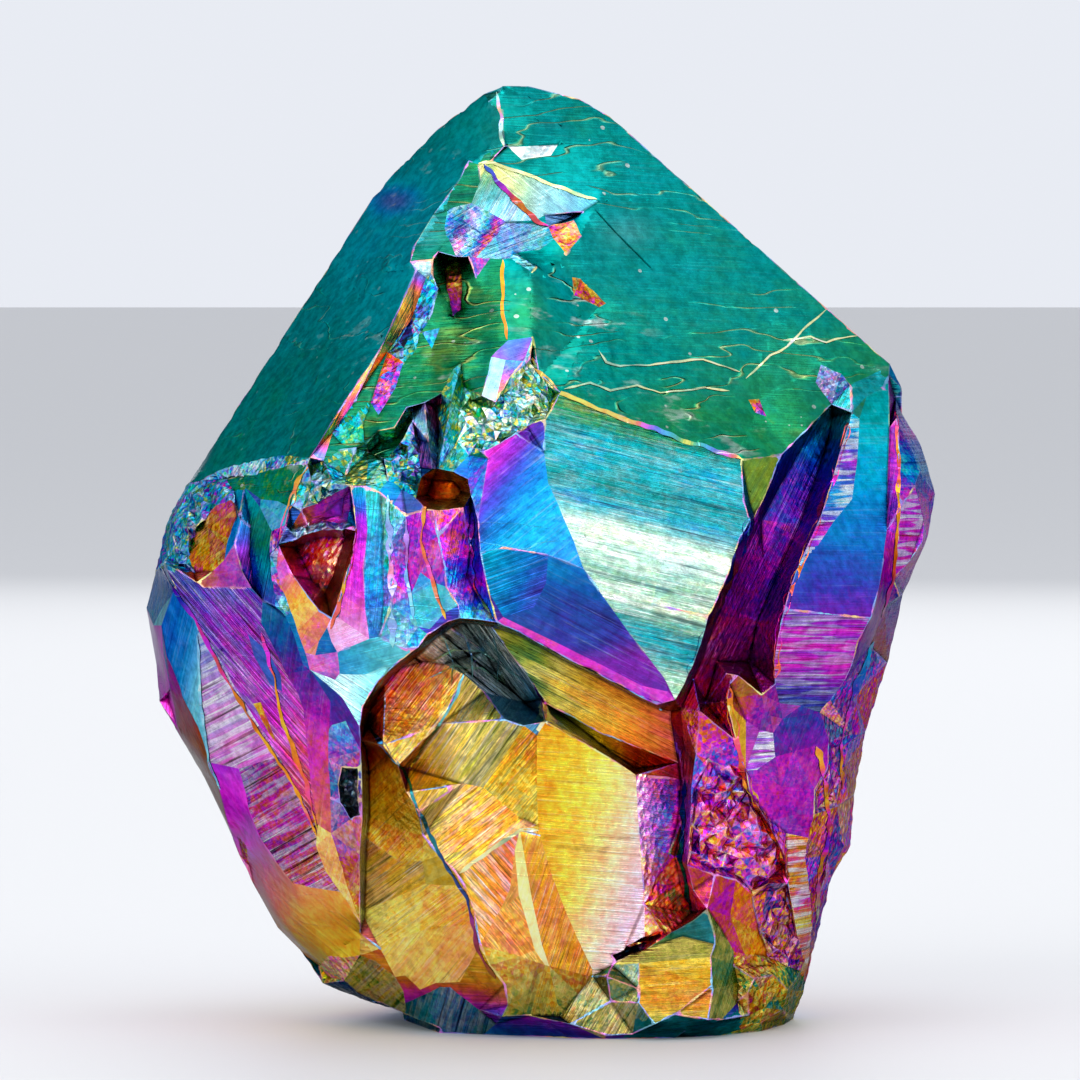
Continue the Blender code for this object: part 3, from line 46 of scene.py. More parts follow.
# A row is one facet of the broken front, in mm: x from the left datum and z up from the floor.
# After the outline come a way across it, from one point to the other, and what is read along that way:
# the film's thickness from 0 to 1 (gold, orange, magenta, purple, blue, cyan, teal, green, yellow; over 1
# the colours come round again), how whitish it is, and how bright. How whitish is partly the film's own
# pale colour and partly painted highlight, the lamps' pale reflection; how bright is painted light and
# shade: facets turned to the lamps are painted brighter, those turned away, hollows, pits and the foot are
# painted darker, and walls in shade are painted brighter to make up for it. Last come the direction and the
# strength of its growth lines, and how broken up it is.
frontFacets = [
    # termination
    ("left tip face", [(48.3, 94.2), (50.1, 92.5), (50.4, 88.8), (46.8, 87.4), (43.3, 82), (41.3, 78.7),
     (38.4, 69.1), (34, 62.4), (31.3, 57.9), (28.4, 58), (23.6, 56.8), (18.6, 54.8), (15, 52.8), (20, 60.8),
     (32, 78.6), (39, 87.6)],
     ((47, 92), (24, 57)), [0.77, 0.74, 0.71, 0.76, 0.78, 0.79], [0.08, 0.06, 0.03, 0],
     [0.7, 0.6, 0.6, 0.66, 0.7], (-52, 0.1), 0),
    ("centre tip face", [(50.4, 88.8), (46, 86), (44, 82), (41, 77.2), (38.8, 68.2), (35.6, 63.4),
     (32.6, 57.6), (48.3, 58.2), (48.2, 64), (50.8, 69.5), (50.3, 72), (50.2, 77.4), (49, 83)],
     ((46, 80), (42, 58)), [0.85, 0.86, 0.83, 0.84, 0.8], [0.02], [0.6, 0.7, 0.65, 0.6], (4, 0.6), 0),
    ("right tip face", [(50.1, 92.5), (50, 95.5), (58, 94.4), (61.5, 92.6), (90, 67.4), (89.4, 65.6),
     (85.4, 64.8), (83.4, 62.8), (78.2, 57.9), (74.1, 57.5), (69, 59.2), (62, 61.8), (56, 64.3),
     (53.2, 67.6), (50.8, 69.5), (50.3, 72), (50.2, 77.4), (49, 85), (50.4, 88.8)],
     ((58, 92), (72, 59)), [0.775, 0.77, 0.775, 0.785, 0.81, 0.84], [0.04, 0.05, 0.03],
     [0.7, 0.8, 0.82, 0.8, 0.7], (-3, 0.2), 0),
    ("fan scar", [(48, 85.4), (47.8, 87), (49.1, 87.4), (54, 85.5), (59.9, 83.3), (58.3, 82.2),
     (54.5, 81.9), (53.6, 81.4), (50.6, 81.2), (47.1, 83.1)],
     ((47.2, 84.5), (59.8, 83.2)), [0.86, 0.97, 0.9, 0.72, 0.68, 0.7], [0.2, 0.5, 0.6, 0.5, 0.3],
     [1.25, 1.5, 1.4, 1.2], (-38, 0.6), 0),
    ("fan scar, left part", [(47.8, 87), (48.6, 86.7), (50.5, 84.2), (53.2, 81.6), (50.6, 81.2),
     (47.1, 83.1), (48, 85.4)],
     ((48, 86.5), (50, 81.8)), [0.97, 0.84, 0.7, 0.66], [0.4, 0.3, 0.5], [1.1, 0.9, 1.2], (60, 1.2), 0.1),
    ("fan scar, end step", [(54.5, 81.9), (54.8, 80.7), (57.8, 82), (59.9, 83.3), (58.3, 82.2)],
     None, [0.6], [0.35], [0.8], (-10, 0.6), 0),
    ("hollow under the fan", [(50.6, 81.2), (53.4, 81), (54.8, 80.7), (55.4, 79.4), (54, 78.4), (52, 78.2),
     (50.2, 77.4), (47.6, 77.7), (49.5, 79.7)],
     ((48, 78), (55, 81)), [0.66, 0.6, 0.7], [0.4, 0.25], [0.9], (20, 1.2), 0.35),
    ("hollow, right edge", [(54.8, 80.7), (57.4, 81.4), (58.2, 79.8), (56.6, 78), (55.4, 79.4)],
     ((55, 80), (58, 80)), [0.3, 0.12, 0.2], [0.25], [0.9], (0, 0.3), 0.7),
    ("chip beside the hollow", [(51.2, 78.3), (53.6, 76.7), (53.2, 76.2), (51, 77.6)],
     None, [0.66], [0.4], [1], (0, 0.3), 0.6),
    ("broken corner", [(47.1, 83.1), (44.7, 82.4), (44.4, 80.6), (44.8, 79.5), (45.6, 77.7), (47.6, 77.7),
     (49.5, 79.7), (50.6, 81.2)],
     ((44.5, 82), (50, 79)), [0.68, 0.6, 0.34, 0.66, 0.14, 0.66], [0.3, 0.1, 0.45, 0.1, 0.5],
     [1.2, 0.7, 1.1, 0.6, 1.2], (30, 1.3), 0.7),
    ("chip under the corner", [(46.8, 77.7), (47.6, 75.6), (49, 77.6)],
     None, [0.45], [0.3], [0.8], (0, 0), 0.5),
    # painted shade: the hole is painted dark
    ("dark hole", [(44.4, 77), (46, 77.4), (46.2, 75), (46, 72.4), (45.3, 71.8), (44.7, 74.5)],
     ((45, 76.5), (45.5, 72)), [0.1], [0.1], [0.35], (0, 0), 0.6),
    ("chamfer", [(41, 77.2), (41.6, 76.4), (42.6, 75.6), (41.2, 71.6), (38.8, 68.2), (35.6, 63.4),
     (33.4, 60.2), (32.6, 57.6), (31.3, 57.9), (34, 62.4), (38.4, 69.1)],
     ((41.8, 76.8), (31.9, 57.6)), [0.64, 0.1, 0.04, 0.02, 0.07, 0.02, 0.12, 0.03, 0.08, 0.6],
     [0.4, 0.15, 0.2, 0.25, 0.15, 0.4], [1.2, 1.15, 1.3], (62, 0.4), 0.1),
    ("chamfer, top block", [(41, 77.2), (43.3, 77.4), (43.2, 76), (42.6, 75.6), (41.6, 76.4)],
     None, [0.68], [0.7], [1.4], (0, 0.2), 0.3),
    ("chipped run", [(43.2, 76), (43.8, 74.5), (42.9, 71.5), (41.9, 70), (41.6, 68.4), (40.4, 67.2),
     (38.8, 68.2), (41.2, 71.6), (42.6, 75.6)],
     ((43, 75.5), (40, 68)), [0.7, 0.66, 0.3, 0.72], [0.3], [0.85], (60, 0.3), 0.9),
    # painted shade: the pit is painted dark
    ("chipped run, pit", [(41, 71.2), (41.3, 70), (40.4, 68.6), (39.9, 69.3)],
     None, [0.4], [0.05], [0.25], (0, 0), 0.3),
    ("chipped run, island", [(42.2, 70.2), (44, 70.6), (43.2, 68.6)],
     None, [0.3], [0.4], [1], (0, 0), 0.7),
    ("chips by the chamfer", [(40.4, 67.2), (39.6, 64.6), (38, 62), (37.2, 63.2), (38, 65.8), (38.8, 68.2)],
     None, [0.68, 0.3, 0.7], [0.25], [0.9], (60, 0.3), 0.8),
    ("lower chips by the chamfer", [(37.2, 63.2), (36.4, 61.2), (36.6, 59.4), (34.4, 59.2), (33.4, 60.2)],
     None, [0.66], [0.25], [0.9], (60, 0.3), 0.8),
    ("step below the centre face", [(34.3, 58.6), (35.8, 58.8), (38, 60.5), (39.6, 60.8), (40.8, 62.8),
     (41.3, 62.6), (41.4, 61.4), (39.8, 59.8), (38.2, 59.4), (37, 58.4), (38.6, 57.8), (38.4, 55),
     (35.3, 55.2), (34.8, 56.2)],
     None, [0.72, 0.8, 0.68], [0.2, 0.4], [0.9], (10, 0.4), 0.6),
    ("splinters", [(41.3, 62.6), (42.6, 63.3), (44.2, 64.2), (45.4, 66.6), (46.2, 67.2), (45.2, 63.4),
     (44.6, 60), (43.8, 56.9), (42.2, 57)],
     ((41.4, 60), (46, 63)), [0.32, 0.66, 0.3, 0.12, 0.66], [0.4, 0.5, 0.3], [0.9, 0.5, 1.3], (80, 0.7),
     0.3),
    ("splintered ground", [(38.6, 57.8), (40.2, 59.4), (41.4, 61.4), (42, 59.5), (42.2, 57), (42.3, 56.1),
     (41.8, 54.1), (40.4, 54.8), (39, 55.8)],
     None, [0.7], [0.2], [0.8], (0, 0), 1),
    ("ground beside the splinters", [(44.2, 64.2), (46.2, 67.2), (46.5, 64.8), (46, 62.5), (45.8, 59.5),
     (47, 58.2), (45.5, 56.6), (43.8, 56.9)],
     None, [0.74], [0.15], [0.8], (70, 0.4), 0.7),
    ("crumbly patch", [(46.5, 64.8), (48.2, 64), (49.6, 63.4), (51.2, 66), (53.2, 67.6), (53.8, 66.5),
     (56, 64.3), (54.5, 61.8), (51.6, 60.4), (48.3, 58.6), (47, 58.2), (45.8, 59.5), (46, 62.5)],
     None, [0.8], [0.45], [1.3], (0, 0), 1),
    ("block, left face", [(48.2, 64), (48.8, 66), (49.1, 68), (50.6, 67.6), (49.6, 63.4)],
     None, [0.62], [0.6], [1.3], (70, 0.3), 0),
    ("block, right face", [(50.6, 67.6), (52.4, 67.4), (53.3, 69.8), (53.1, 67.6), (51.2, 66),
     (49.6, 63.4)],
     ((51, 67.5), (50.5, 64)), [0.6, 0.3, 0.16], [0.4, 0.3], [1.1], (30, 0.5), 0.2),
    ("block, top", [(49.1, 68), (50.6, 67.6), (52.4, 67.4), (53.3, 69.8), (50.8, 69.5)],
     ((49, 68), (53, 69)), [0.3, 0.42, 0.2], [0.35], [1], (20, 0.3), 0),
    ("right chip", [(57.2, 75.6), (58, 75.4), (60.6, 73), (59.9, 72.6), (57.4, 73.8)],
     ((57, 75), (60, 73)), [0.1, 0.14], [0.1], [0.45], (0, 0), 0.8),
    ("small right chip", [(74.9, 63.3), (76, 63.4), (76.7, 61.6), (75.6, 62)],
     None, [0.14], [0.3], [0.7], (0, 0), 0.8),
    ("chips below the tip", [(50.8, 88.8), (52.6, 88.8), (54, 88.9), (55.8, 89), (55.1, 87.9),
     (52.2, 87.6)],
     None, [0.7], [0.85], [1.3], (0, 0), 0.3),
    ("olive facet", [(74.1, 57.5), (74.9, 53.4), (75.4, 51.8), (76.6, 54.2), (78.2, 57.9)],
     None, [0.91], [0.05], [0.6], (60, 0.4), 0),
    ("corner chips", [(81.8, 65), (82.4, 66.8), (84.4, 65.8), (85.4, 64.8), (83.4, 62.8)],
     None, [0.78, 0.34, 0.62, 0.78], [0.35], [0.7], (0, 0), 0.8),
    # two large faces under the termination
    ("green front face", [(56, 64.3), (62, 61.8), (69, 59.2), (73.4, 57.9), (74.1, 57.5), (74.3, 53.4),
     (74.9, 51.6), (73.8, 49.8), (72.6, 46.4), (71.2, 43.4), (70.6, 42.4), (69.8, 39.6), (68.6, 36.4),
     (67.3, 34.2), (66.2, 36.4), (62.8, 40.8), (59.9, 44.9), (58.3, 47.2), (55.8, 53.4), (54.4, 58.5),
     (54.5, 61.8)],
     ((64, 63), (56.5, 35)),
     [0.88, 0.84, 0.7, 0.68, 0.74, 0.67, 0.87, 0.81, 0.83, 0.89, 0.74, 0.7, 0.83, 0.87, 0.89],
     [0.05, 0.05, 0.12, 0.15, 0.1, 0.2, 0.72, 0.62, 0.5, 0.66, 0.15, 0.12, 0.45, 0.55, 0.6],
     [0.75, 0.7, 0.85, 0.8, 0.7, 0.8, 1.5, 1.35, 1.05, 1.35, 0.8, 0.75, 1.2, 1.3, 1.3], (-14, 1.25), 0.12),
    ("blue face, top", [(48.3, 58.6), (50, 59.4), (51.6, 60.4), (54.5, 61.8), (54.4, 58.5), (54.8, 55.5),
     (55.8, 53.4), (57.4, 49.8), (58.3, 47.2), (54.8, 48.6), (50.5, 49.3), (48.1, 48.9), (47.9, 52),
     (48.9, 57.9)],
     ((48.6, 57), (57, 51)), [0.33, 0.44, 0.56, 0.62, 0.63, 0.6], [0.1, 0.06, 0.1], [0.9, 0.85, 0.95, 0.9],
     (38, 0.8), 0),
    ("blue face, hollow", [(48.1, 48.9), (50.5, 49.3), (54.8, 48.6), (54.6, 45.8), (53.4, 43.4),
     (50.4, 42.4), (48.9, 45)],
     ((49, 48), (54, 45)), [0.64, 0.58, 0.5], [0.04], [0.7, 0.8, 0.8], (20, 0.8), 0),
    ("blue face, foot", [(54.8, 48.6), (58.3, 47.2), (59.9, 44.9), (62.8, 40.8), (66.6, 35), (64, 35.6),
     (60, 37.7), (56, 39.7), (50.4, 42.4), (53.4, 43.4), (54.6, 45.8)],
     ((58, 47), (59, 37.8)), [0.58, 0.53, 0.5, 0.47, 0.38], [0.05, 0.1], [0.85, 0.7, 0.75, 0.8], (-28, 0.8),
     0),
    ("band above the lip", [(50.4, 42.4), (56, 39.7), (60, 37.7), (64, 35.6), (66.6, 35), (67.3, 34.2),
     (65.5, 33.7), (64, 34.4), (60, 36.6), (56, 38.6), (52, 40.9), (49.7, 41.9)],
     ((57, 39.6), (56.4, 38.4)), [0.33, 0.3, 0.34], [0.15], [1.2], (-28, 0.6), 0.1),
    # right hollow and side
    # painted light: the top of this hollow is painted brighter to make up for the shade it lies in
    ("right hollow", [(78.2, 57.9), (80.5, 60), (83.4, 62.8), (85.4, 64.8), (85.4, 62), (84.5, 59.4),
     (83.2, 55.4), (82, 51.9), (80.5, 48.9), (79.5, 46.9), (78.5, 44.4), (77.7, 41.4), (77.2, 38),
     (77.3, 35.4), (73.4, 34.2), (72.4, 36.6), (70.4, 33.4), (68, 33), (70.4, 39), (73, 45.6), (75.4, 51.8),
     (76.6, 54.2)],
     ((84, 63), (72, 34)), [0.76, 0.6, 0.44, 0.4, 0.37, 0.34, 0.33, 0.3, 0.26], [0.15, 0.1, 0.2],
     [1.3, 0.9, 0.75, 0.7, 0.7, 0.75, 0.8], (63, 0.7), 0.3),
    ("fringe", [(85.4, 62), (86.2, 61.4), (85.8, 57), (85.2, 53.4), (83.2, 51.2), (81.6, 49), (80.2, 47.6),
     (79.5, 46.9), (80.5, 48.9), (82, 51.9), (83.2, 55.4), (84.5, 59.4)],
     ((86, 61), (80, 47)), [0.66, 0.34, 0.6, 0.32, 0.64], [0.1, 0.15], [1.2], (0, 2), 0.1),
    ("blue side face", [(86.2, 61.4), (87, 63.6), (88.8, 64.4), (89.4, 65.6), (89.3, 60.4), (89, 55.4),
     (88.8, 50.4), (88.4, 47.4), (87.8, 44.4), (87, 41.7), (85.8, 39.4), (85.2, 36.9), (84.5, 35.4),
     (83, 33.4), (82, 32.2), (80, 33), (77.8, 33.4), (77.3, 35.4), (77.2, 38), (77.7, 41.4), (78.5, 44.4),
     (79.5, 46.9), (80.2, 47.6), (83.2, 51.2), (85.2, 53.4), (85.8, 57)],
     ((86, 65), (82, 32.5)), [0.76, 0.74, 0.68, 0.64, 0.61, 0.58, 0.55, 0.5, 0.44, 0.35, 0.33, 0.36, 0.46],
     [0.05], [0.9, 1.0, 1.0, 0.95, 0.9, 0.85, 0.8, 0.6], (-2, 0.5), 0.05),
    ("blue side face, under the step", [(77.9, 43), (82, 42.4), (87, 41.7), (85.8, 39.4), (85.2, 36.9),
     (84.5, 35.4), (83, 33.4), (82, 32.2), (80, 33), (77.8, 33.4), (77.3, 35.4), (77.2, 38), (77.7, 41.4)],
     ((82, 42.4), (81, 32.6)), [0.38, 0.34, 0.32, 0.33, 0.42, 0.5], [0.08], [0.95, 1.05, 0.9, 0.6],
     (-3, 1.6), 0),
    ("grey strip", [(89.4, 65.6), (90.2, 63.4), (90.2, 56.4), (90.1, 52.4), (90, 49.4), (89.6, 45.4),
     (88.8, 42.4), (87.2, 38.6), (85.2, 36.9), (87, 41.7), (88.4, 47.4), (89, 55.4), (89.3, 60.4)],
     None, [0.36, 0.33], [0.12], [0.6], (80, 0.5), 0.2),
    ("right bulge", [(90.2, 63.4), (91.5, 66), (91.5, 61.7), (93.5, 58.5), (95, 53.4), (94.6, 48.9),
     (92, 43.2), (90, 36.2), (88.6, 36.6), (87.2, 38.6), (88.8, 42.4), (90, 49.4), (90.2, 56.4)],
     ((91, 63), (89, 37)), [0.6, 0.36, 0.64, 0.34, 0.33, 0.31, 0.4, 0.3, 0.24], [0.08, 0.12, 0.15, 0.08],
     [0.6, 0.8, 1, 0.6, 0.5], (-6, 1.0), 0.35),
    ("striped patch on the bulge", [(90.1, 52.4), (91.8, 54.6), (92.8, 51), (91.4, 47.2), (89.6, 45.4),
     (90, 49.4)],
     None, [0.31], [0.1], [1.3], (-4, 2), 0.1),
    ("right flank", [(84.5, 35.4), (87.2, 38.6), (90, 36.2), (88, 29.2), (86.6, 22.8), (86.2, 17.7),
     (84.3, 14.5), (82.7, 8.1), (81.5, 3), (81.3, 5.4), (81.6, 10.4), (81.2, 14.4), (80.6, 17.4),
     (80.8, 19.6), (81.5, 21.9), (81.5, 24.4), (82.8, 26.4), (83, 29.2), (82, 32.2)],
     ((86, 37), (82, 5)), [0.34, 0.3, 0.36, 0.32, 0.24, 0.34, 0.3, 0.2, 0.3, 0.14], [0.15, 0.3, 0.15],
     [0.85, 0.75, 0.9, 0.75], (70, 0.4), 0.75),
    ("violet facet", [(75.6, 26.8), (77.4, 28), (79.2, 28.4), (81.5, 24.4), (81.5, 21.9), (80.8, 19.6),
     (78.6, 20.2), (77, 21.6), (74.8, 24.6), (74.4, 26.8)],
     ((76, 27), (80, 21)), [0.36, 0.33, 0.36], [0.1], [0.85, 0.7], (-10, 0.4), 0.25),
    ("facet above the violet one", [(78.2, 31.8), (80, 33), (82, 32.2), (83, 29.2), (82.8, 26.4),
     (81.5, 24.4), (79.2, 28.4), (77.4, 28), (77.2, 30.4)],
     ((79, 32), (81.5, 26)), [0.46, 0.38, 0.34], [0.1], [0.6, 0.7], (70, 0.4), 0.2),
    ("striped facet", [(75.8, 30.8), (77.2, 30.4), (77.4, 28), (75.6, 26.8), (74.4, 26.8)],
     None, [0.37], [0.2], [1.4], (0, 2), 0),
    ("gold blade", [(72.4, 33.8), (73.4, 29.9), (74.4, 26.8), (74.4, 31.8)],
     None, [0.07], [0.1], [0.7], (80, 0.5), 0),
    ("blades under the hollow", [(72.4, 36.6), (77.3, 35.4), (77.8, 33.4), (78.2, 31.8), (77.2, 30.4),
     (75.8, 30.8), (74.4, 31.8), (72.4, 33.8), (70.4, 33.4)],
     ((72, 35), (77, 32)), [0.3, 0.16, 0.3, 0.36], [0.15], [0.55], (75, 0.5), 0.3),
    ("sparkly ground", [(68.9, 32.9), (70.4, 33.4), (72.4, 33.8), (73.4, 29.9), (74.4, 26.8), (74.8, 24.6),
     (77, 21.6), (78.6, 20.2), (78.8, 15), (76.8, 15.2), (75.2, 13.8), (73.5, 15.8), (71.4, 16.4),
     (68.6, 17.4), (68.9, 21.4), (69, 25.4), (69.4, 28.6)],
     ((72, 33), (73, 15)), [0.3, 0.33, 0.32, 0.31, 0.3, 0.26], [0.15, 0.2, 0.15], [0.9, 1.2, 1.2, 1.0],
     (60, 0.2), 0.64),
    ("gold comb", [(78.6, 20.2), (80.8, 19.6), (80.6, 17.4), (81.2, 14.4), (81.6, 10.4), (81.3, 5.4),
     (80.8, 6.4), (80, 8.9), (79.4, 12), (78.8, 15)],
     ((80, 20), (81, 6)), [0.1, 0.24, 0.08, 0.26, 0.06, 0.22, 0.1], [0.15], [1.25], (0, 2), 0.2),
    ("left brown face", [(68.6, 17.4), (71.4, 16.4), (73.5, 15.8), (73, 12), (74.4, 8), (73.2, 8.4),
     (71.8, 11.2), (70.6, 13), (69.8, 12.6), (69.2, 14.8)],
     None, [0.24], [0.05], [0.7], (-60, 0.4), 0.3),
    ("middle brown face", [(73.5, 15.8), (75.2, 13.8), (76, 10), (77, 7.4), (75.5, 7.8), (74.4, 8),
     (73, 12)],
     None, [0.15], [0.05], [0.8], (-60, 0.4), 0.3),
    ("right brown face", [(75.2, 13.8), (76.8, 15.2), (78.8, 15), (79.4, 12), (80, 8.9), (80.8, 6.4),
     (80.4, 5.4), (79, 6.2), (77, 7.4), (76, 10)],
     None, [0.27], [0.2], [0.7], (60, 0.3), 0.9),
    ("crack", [(68, 33), (68.4, 29), (68.4, 25.7), (68.1, 21.6), (67.4, 18), (68, 15), (69, 12.2),
     (69.8, 12.6), (69.2, 14.8), (68.6, 17.4), (68.9, 21.4), (69, 25.4), (69.4, 28.6)],
     None, [0.3], [0.35], [1.2], (85, 0.4), 0.3),
    # gold recess
    ("wall under the arch", [(36.2, 31.4), (38, 35.9), (42, 39.4), (46.2, 42.3), (49.7, 41.9), (49.2, 41.1),
     (46.4, 41.5), (43.6, 39.9), (40.1, 36.9), (37.2, 33.1), (36.8, 31.3)],
     None, [0.12], [0.05], [0.8], (40, 0.3), 0.2),
    ("roof, left", [(40.1, 36.9), (38.6, 35.3), (37.2, 33.1), (36.3, 30.1), (38.5, 29.6), (41, 27),
     (44.2, 31.6), (46.5, 36.4), (44.5, 37.4), (42.5, 37.6)],
     ((38, 35), (43, 30)), [0.22, 0.14, 0.09, 0.05], [0.15], [1.0, 0.95], (52, 1.4), 0.3),
    ("roof, middle", [(40.1, 36.9), (43.6, 39.9), (46.4, 41.5), (48.4, 38.6), (50, 35.8), (52.4, 33.4),
     (48.5, 34.6), (46.5, 36.4), (44.5, 37.4), (42.5, 37.6)],
     ((41, 38), (50, 36)), [1.05, 0.98, 0.74, 0.68], [0.6, 0.9], [0.75, 0.6, 0.65], (-40, 2), 0.35),
    ("roof, right", [(46.4, 41.5), (49.2, 41.1), (50.6, 39), (52, 37.2), (53.2, 35.6), (54, 33.8),
     (52.4, 33.4), (50, 35.8), (48.4, 38.6)],
     None, [0.7], [0.8], [0.6], (-55, 1.6), 0.2),
    ("grey striated ground", [(48.5, 34.6), (52.4, 33.4), (54, 33.8), (54.6, 31.8), (53.7, 30.4),
     (52.4, 31.4), (50.5, 32)],
     ((49, 34), (54, 31)), [0.62, 0.66, 0.6], [0.4, 0.5, 0.3], [0.5], (50, 0.8), 0.1),
    ("gold band, upper edge", [(49.2, 41.1), (52, 40.2), (56, 37.9), (60, 35.9), (64, 33.7), (66, 32.8),
     (67, 32.6), (67, 31.6), (62, 33.6), (56, 36.4), (50.6, 39)],
     ((50, 40), (67, 32)), [0.95, 0.9, 1.04, 1.08, 1.1, 1.2], [0.1], [0.5, 0.6, 0.8, 0.8], (-27, 1), 0),
    ("gold band, upper", [(50.6, 39), (56, 36.4), (62, 33.6), (67, 31.6), (67.3, 29.6), (64, 30.6),
     (58, 33.4), (52.6, 36.6)],
     ((51, 38), (67, 30)), [0.9, 1.02, 1.08, 1.1, 1.14, 1.2], [0.2, 0.1], [0.8, 1.1, 1.2, 1.1], (-27, 1),
     0),
    ("gold band, lower", [(52.6, 36.6), (58, 33.4), (64, 30.6), (67.3, 29.6), (67.7, 27.4), (60, 30.4),
     (54.6, 33.4)],
     ((53, 36), (67, 28)), [0.9, 1.0, 1.06, 1.12, 1.18], [0.2, 0.1], [0.7, 1.0, 1.0], (-28, 1), 0),
    ("gold band, lower edge", [(54.6, 33.4), (60, 30.4), (67.7, 27.4), (68, 25.7), (63.5, 26.4),
     (60.5, 28.8), (57.5, 31.2), (55.5, 32.6), (54, 33.8)],
     ((55, 33), (67, 26.5)), [0.9, 1.0, 1.1, 1.2], [0.2, 0.1], [0.9, 0.8], (-28, 1), 0),
    # painted highlight: a whitish, bright wedge where the lamps are reflected
    ("bright wedge", [(53.7, 30.4), (54.6, 31.8), (58, 29.9), (61.5, 27.8), (63.5, 26.6), (60.5, 28.8),
     (57.5, 31.2), (55.5, 32.6), (54, 33.8)],
     None, [0.02], [0.7], [1.3], (-30, 0.5), 0.1),
    # painted highlight: the yellow face turns whitish towards its right end, where the lamps are reflected
    ("yellow face", [(53.7, 30.4), (54.6, 31.8), (58, 29.9), (61.5, 27.8), (63.5, 26.4), (63.9, 20),
     (64.4, 15), (64.4, 9.9), (62.6, 9.2), (61.2, 7.4), (59.2, 6.2), (59.2, 6.9), (57.8, 9.9), (56.5, 12.9),
     (55.2, 16.4), (54, 20.4), (53.7, 25.4)],
     ((53.6, 22), (64.4, 19)), [0.1, 0.075, 0.06, 0.065, 0.1, 0.27], [0.05, 0.08, 0.15, 0.36, 0.62, 0.75],
     [1.2, 1.4, 1.4, 1.3], (-5, 0.75), 0.08),
    ("pink end of the yellow face", [(63.5, 26.4), (68, 25.7), (67.7, 21.6), (66.8, 18.4), (65.2, 15.4),
     (64.4, 13.4), (64.4, 15), (63.9, 20)],
     ((63.8, 20), (67.8, 20)), [0.27, 0.3, 0.31], [0.7, 0.5, 0.35], [1.7], (-10, 0.5), 0.62),
    ("rough end of the yellow face", [(64.4, 13.4), (65.2, 15.4), (66.8, 18.4), (67.4, 18), (68, 15),
     (69, 12.2), (67, 10.6), (64.6, 9), (62.6, 9.2), (64.4, 9.9)],
     ((65, 17), (67, 11)), [0.28, 0.22, 0.16], [0.15], [1.2], (40, 0.3), 0.7),
    ("olive slope", [(41, 27), (44.2, 31.6), (46.5, 36.4), (48.5, 34.6), (50.5, 32), (46.3, 25.6),
     (42.4, 20.4), (42, 22.9), (40.8, 24.9)],
     ((42, 30), (49, 29)), [1.07, 1.04, 0.99, 0.96], [0.08, 0.15], [0.75, 0.8, 0.7], (55, 1.5), 0),
    ("middle slope", [(42.4, 20.4), (46.3, 25.6), (48.4, 25.2), (52, 22.2), (53.8, 21.4), (52, 21),
     (50, 19.6), (46, 16.6), (44, 18.4)],
     ((44, 21), (52, 21)), [0.05, 0.06, 0.09], [0.12], [0.9, 1.0], (38, 1.5), 0.15),
    ("grey slope", [(46.3, 25.6), (48.4, 25.2), (51.6, 30.1), (52.4, 31.4), (50.5, 32)],
     None, [0.98], [0.25], [0.45], (52, 1.5), 0),
    ("dark triangle", [(48.4, 25.2), (52, 22.2), (53.8, 21.4), (53.7, 25.4), (53.7, 30.4), (52.4, 31.4),
     (51.6, 30.1)],
     ((52.5, 30), (51, 22)), [0.09, 0.06, 0.05], [0.03], [0.55, 0.7, 0.8], (50, 1.1), 0.25),
    ("slope under the light line", [(46, 16.6), (50, 19.6), (52, 21), (51.5, 18.9), (51, 15), (50, 12.9),
     (48, 9.4), (47.5, 12.9), (46.5, 15.4)],
     ((47, 16), (51, 16)), [0.07, 0.12, 0.18], [0.15], [1.0], (-48, 1.6), 0.05),
    ("small point, left", [(51.5, 18.9), (51, 15), (50, 12.9), (51.9, 14.4)],
     None, [0.12], [0.25], [1.0], (60, 0.5), 0.1),
    ("small point, foot", [(50, 12.9), (51.9, 14.4), (52.5, 12.4), (53.5, 8.9), (54.5, 7.4), (52, 8.3),
     (48, 9.4)],
     None, [0.08, 0.12], [0.25], [0.95], (-50, 0.8), 0.2),
    ("small point, right", [(51.5, 18.9), (51.9, 14.4), (52.5, 12.4), (53.5, 8.9), (54.5, 7.4), (54.9, 7.3),
     (54.2, 9.4), (53.2, 14), (52, 21)],
     ((52, 20), (54.4, 8)), [0.05, 0.02, 0.04], [0.4, 0.6], [1.4], (75, 0.4), 0),
    ("slope beside the small point", [(52, 21), (53.2, 14), (54.2, 9.4), (54.9, 7.3), (59, 6.2),
     (59.2, 6.9), (57.8, 9.9), (56.5, 12.9), (55.2, 16.4), (54, 20.4), (53.9, 20.9)],
     ((53, 18), (58, 8)), [0.07, 0.13, 0.1], [0.1], [1], (72, 1.2), 0.1),
    ("gold ledge", [(48, 9.4), (52, 8.3), (54.9, 7.3), (59, 6.2), (56, 2.2), (53, 2.3), (50.2, 2.2),
     (50.8, 3.4), (50.5, 5.4), (49, 7.4)],
     ((52, 9), (53, 2.4)), [1.08, 1.04, 0.95], [0.2, 0.1], [0.8, 0.6, 0.4], (75, 0.6), 0.35),
    ("left gold, top", [(36.3, 30.1), (38.5, 29.6), (40, 27.6), (40.8, 24.9), (42, 22.9), (42.4, 20.4),
     (44, 18.4), (42.4, 17.8), (40, 17.6), (36.5, 19.9)],
     ((37, 29), (41, 19)), [0.15, 0.09, 0.05, 0.04], [0.08], [1.0, 1.0, 1.0], (48, 1.1), 0.25),
    ("left gold, middle", [(36.5, 19.9), (40, 17.6), (42.4, 17.8), (42.6, 15.4), (39, 13.6), (36.2, 12.4)],
     None, [0.06], [0.1], [0.8], (38, 1.5), 0.05),
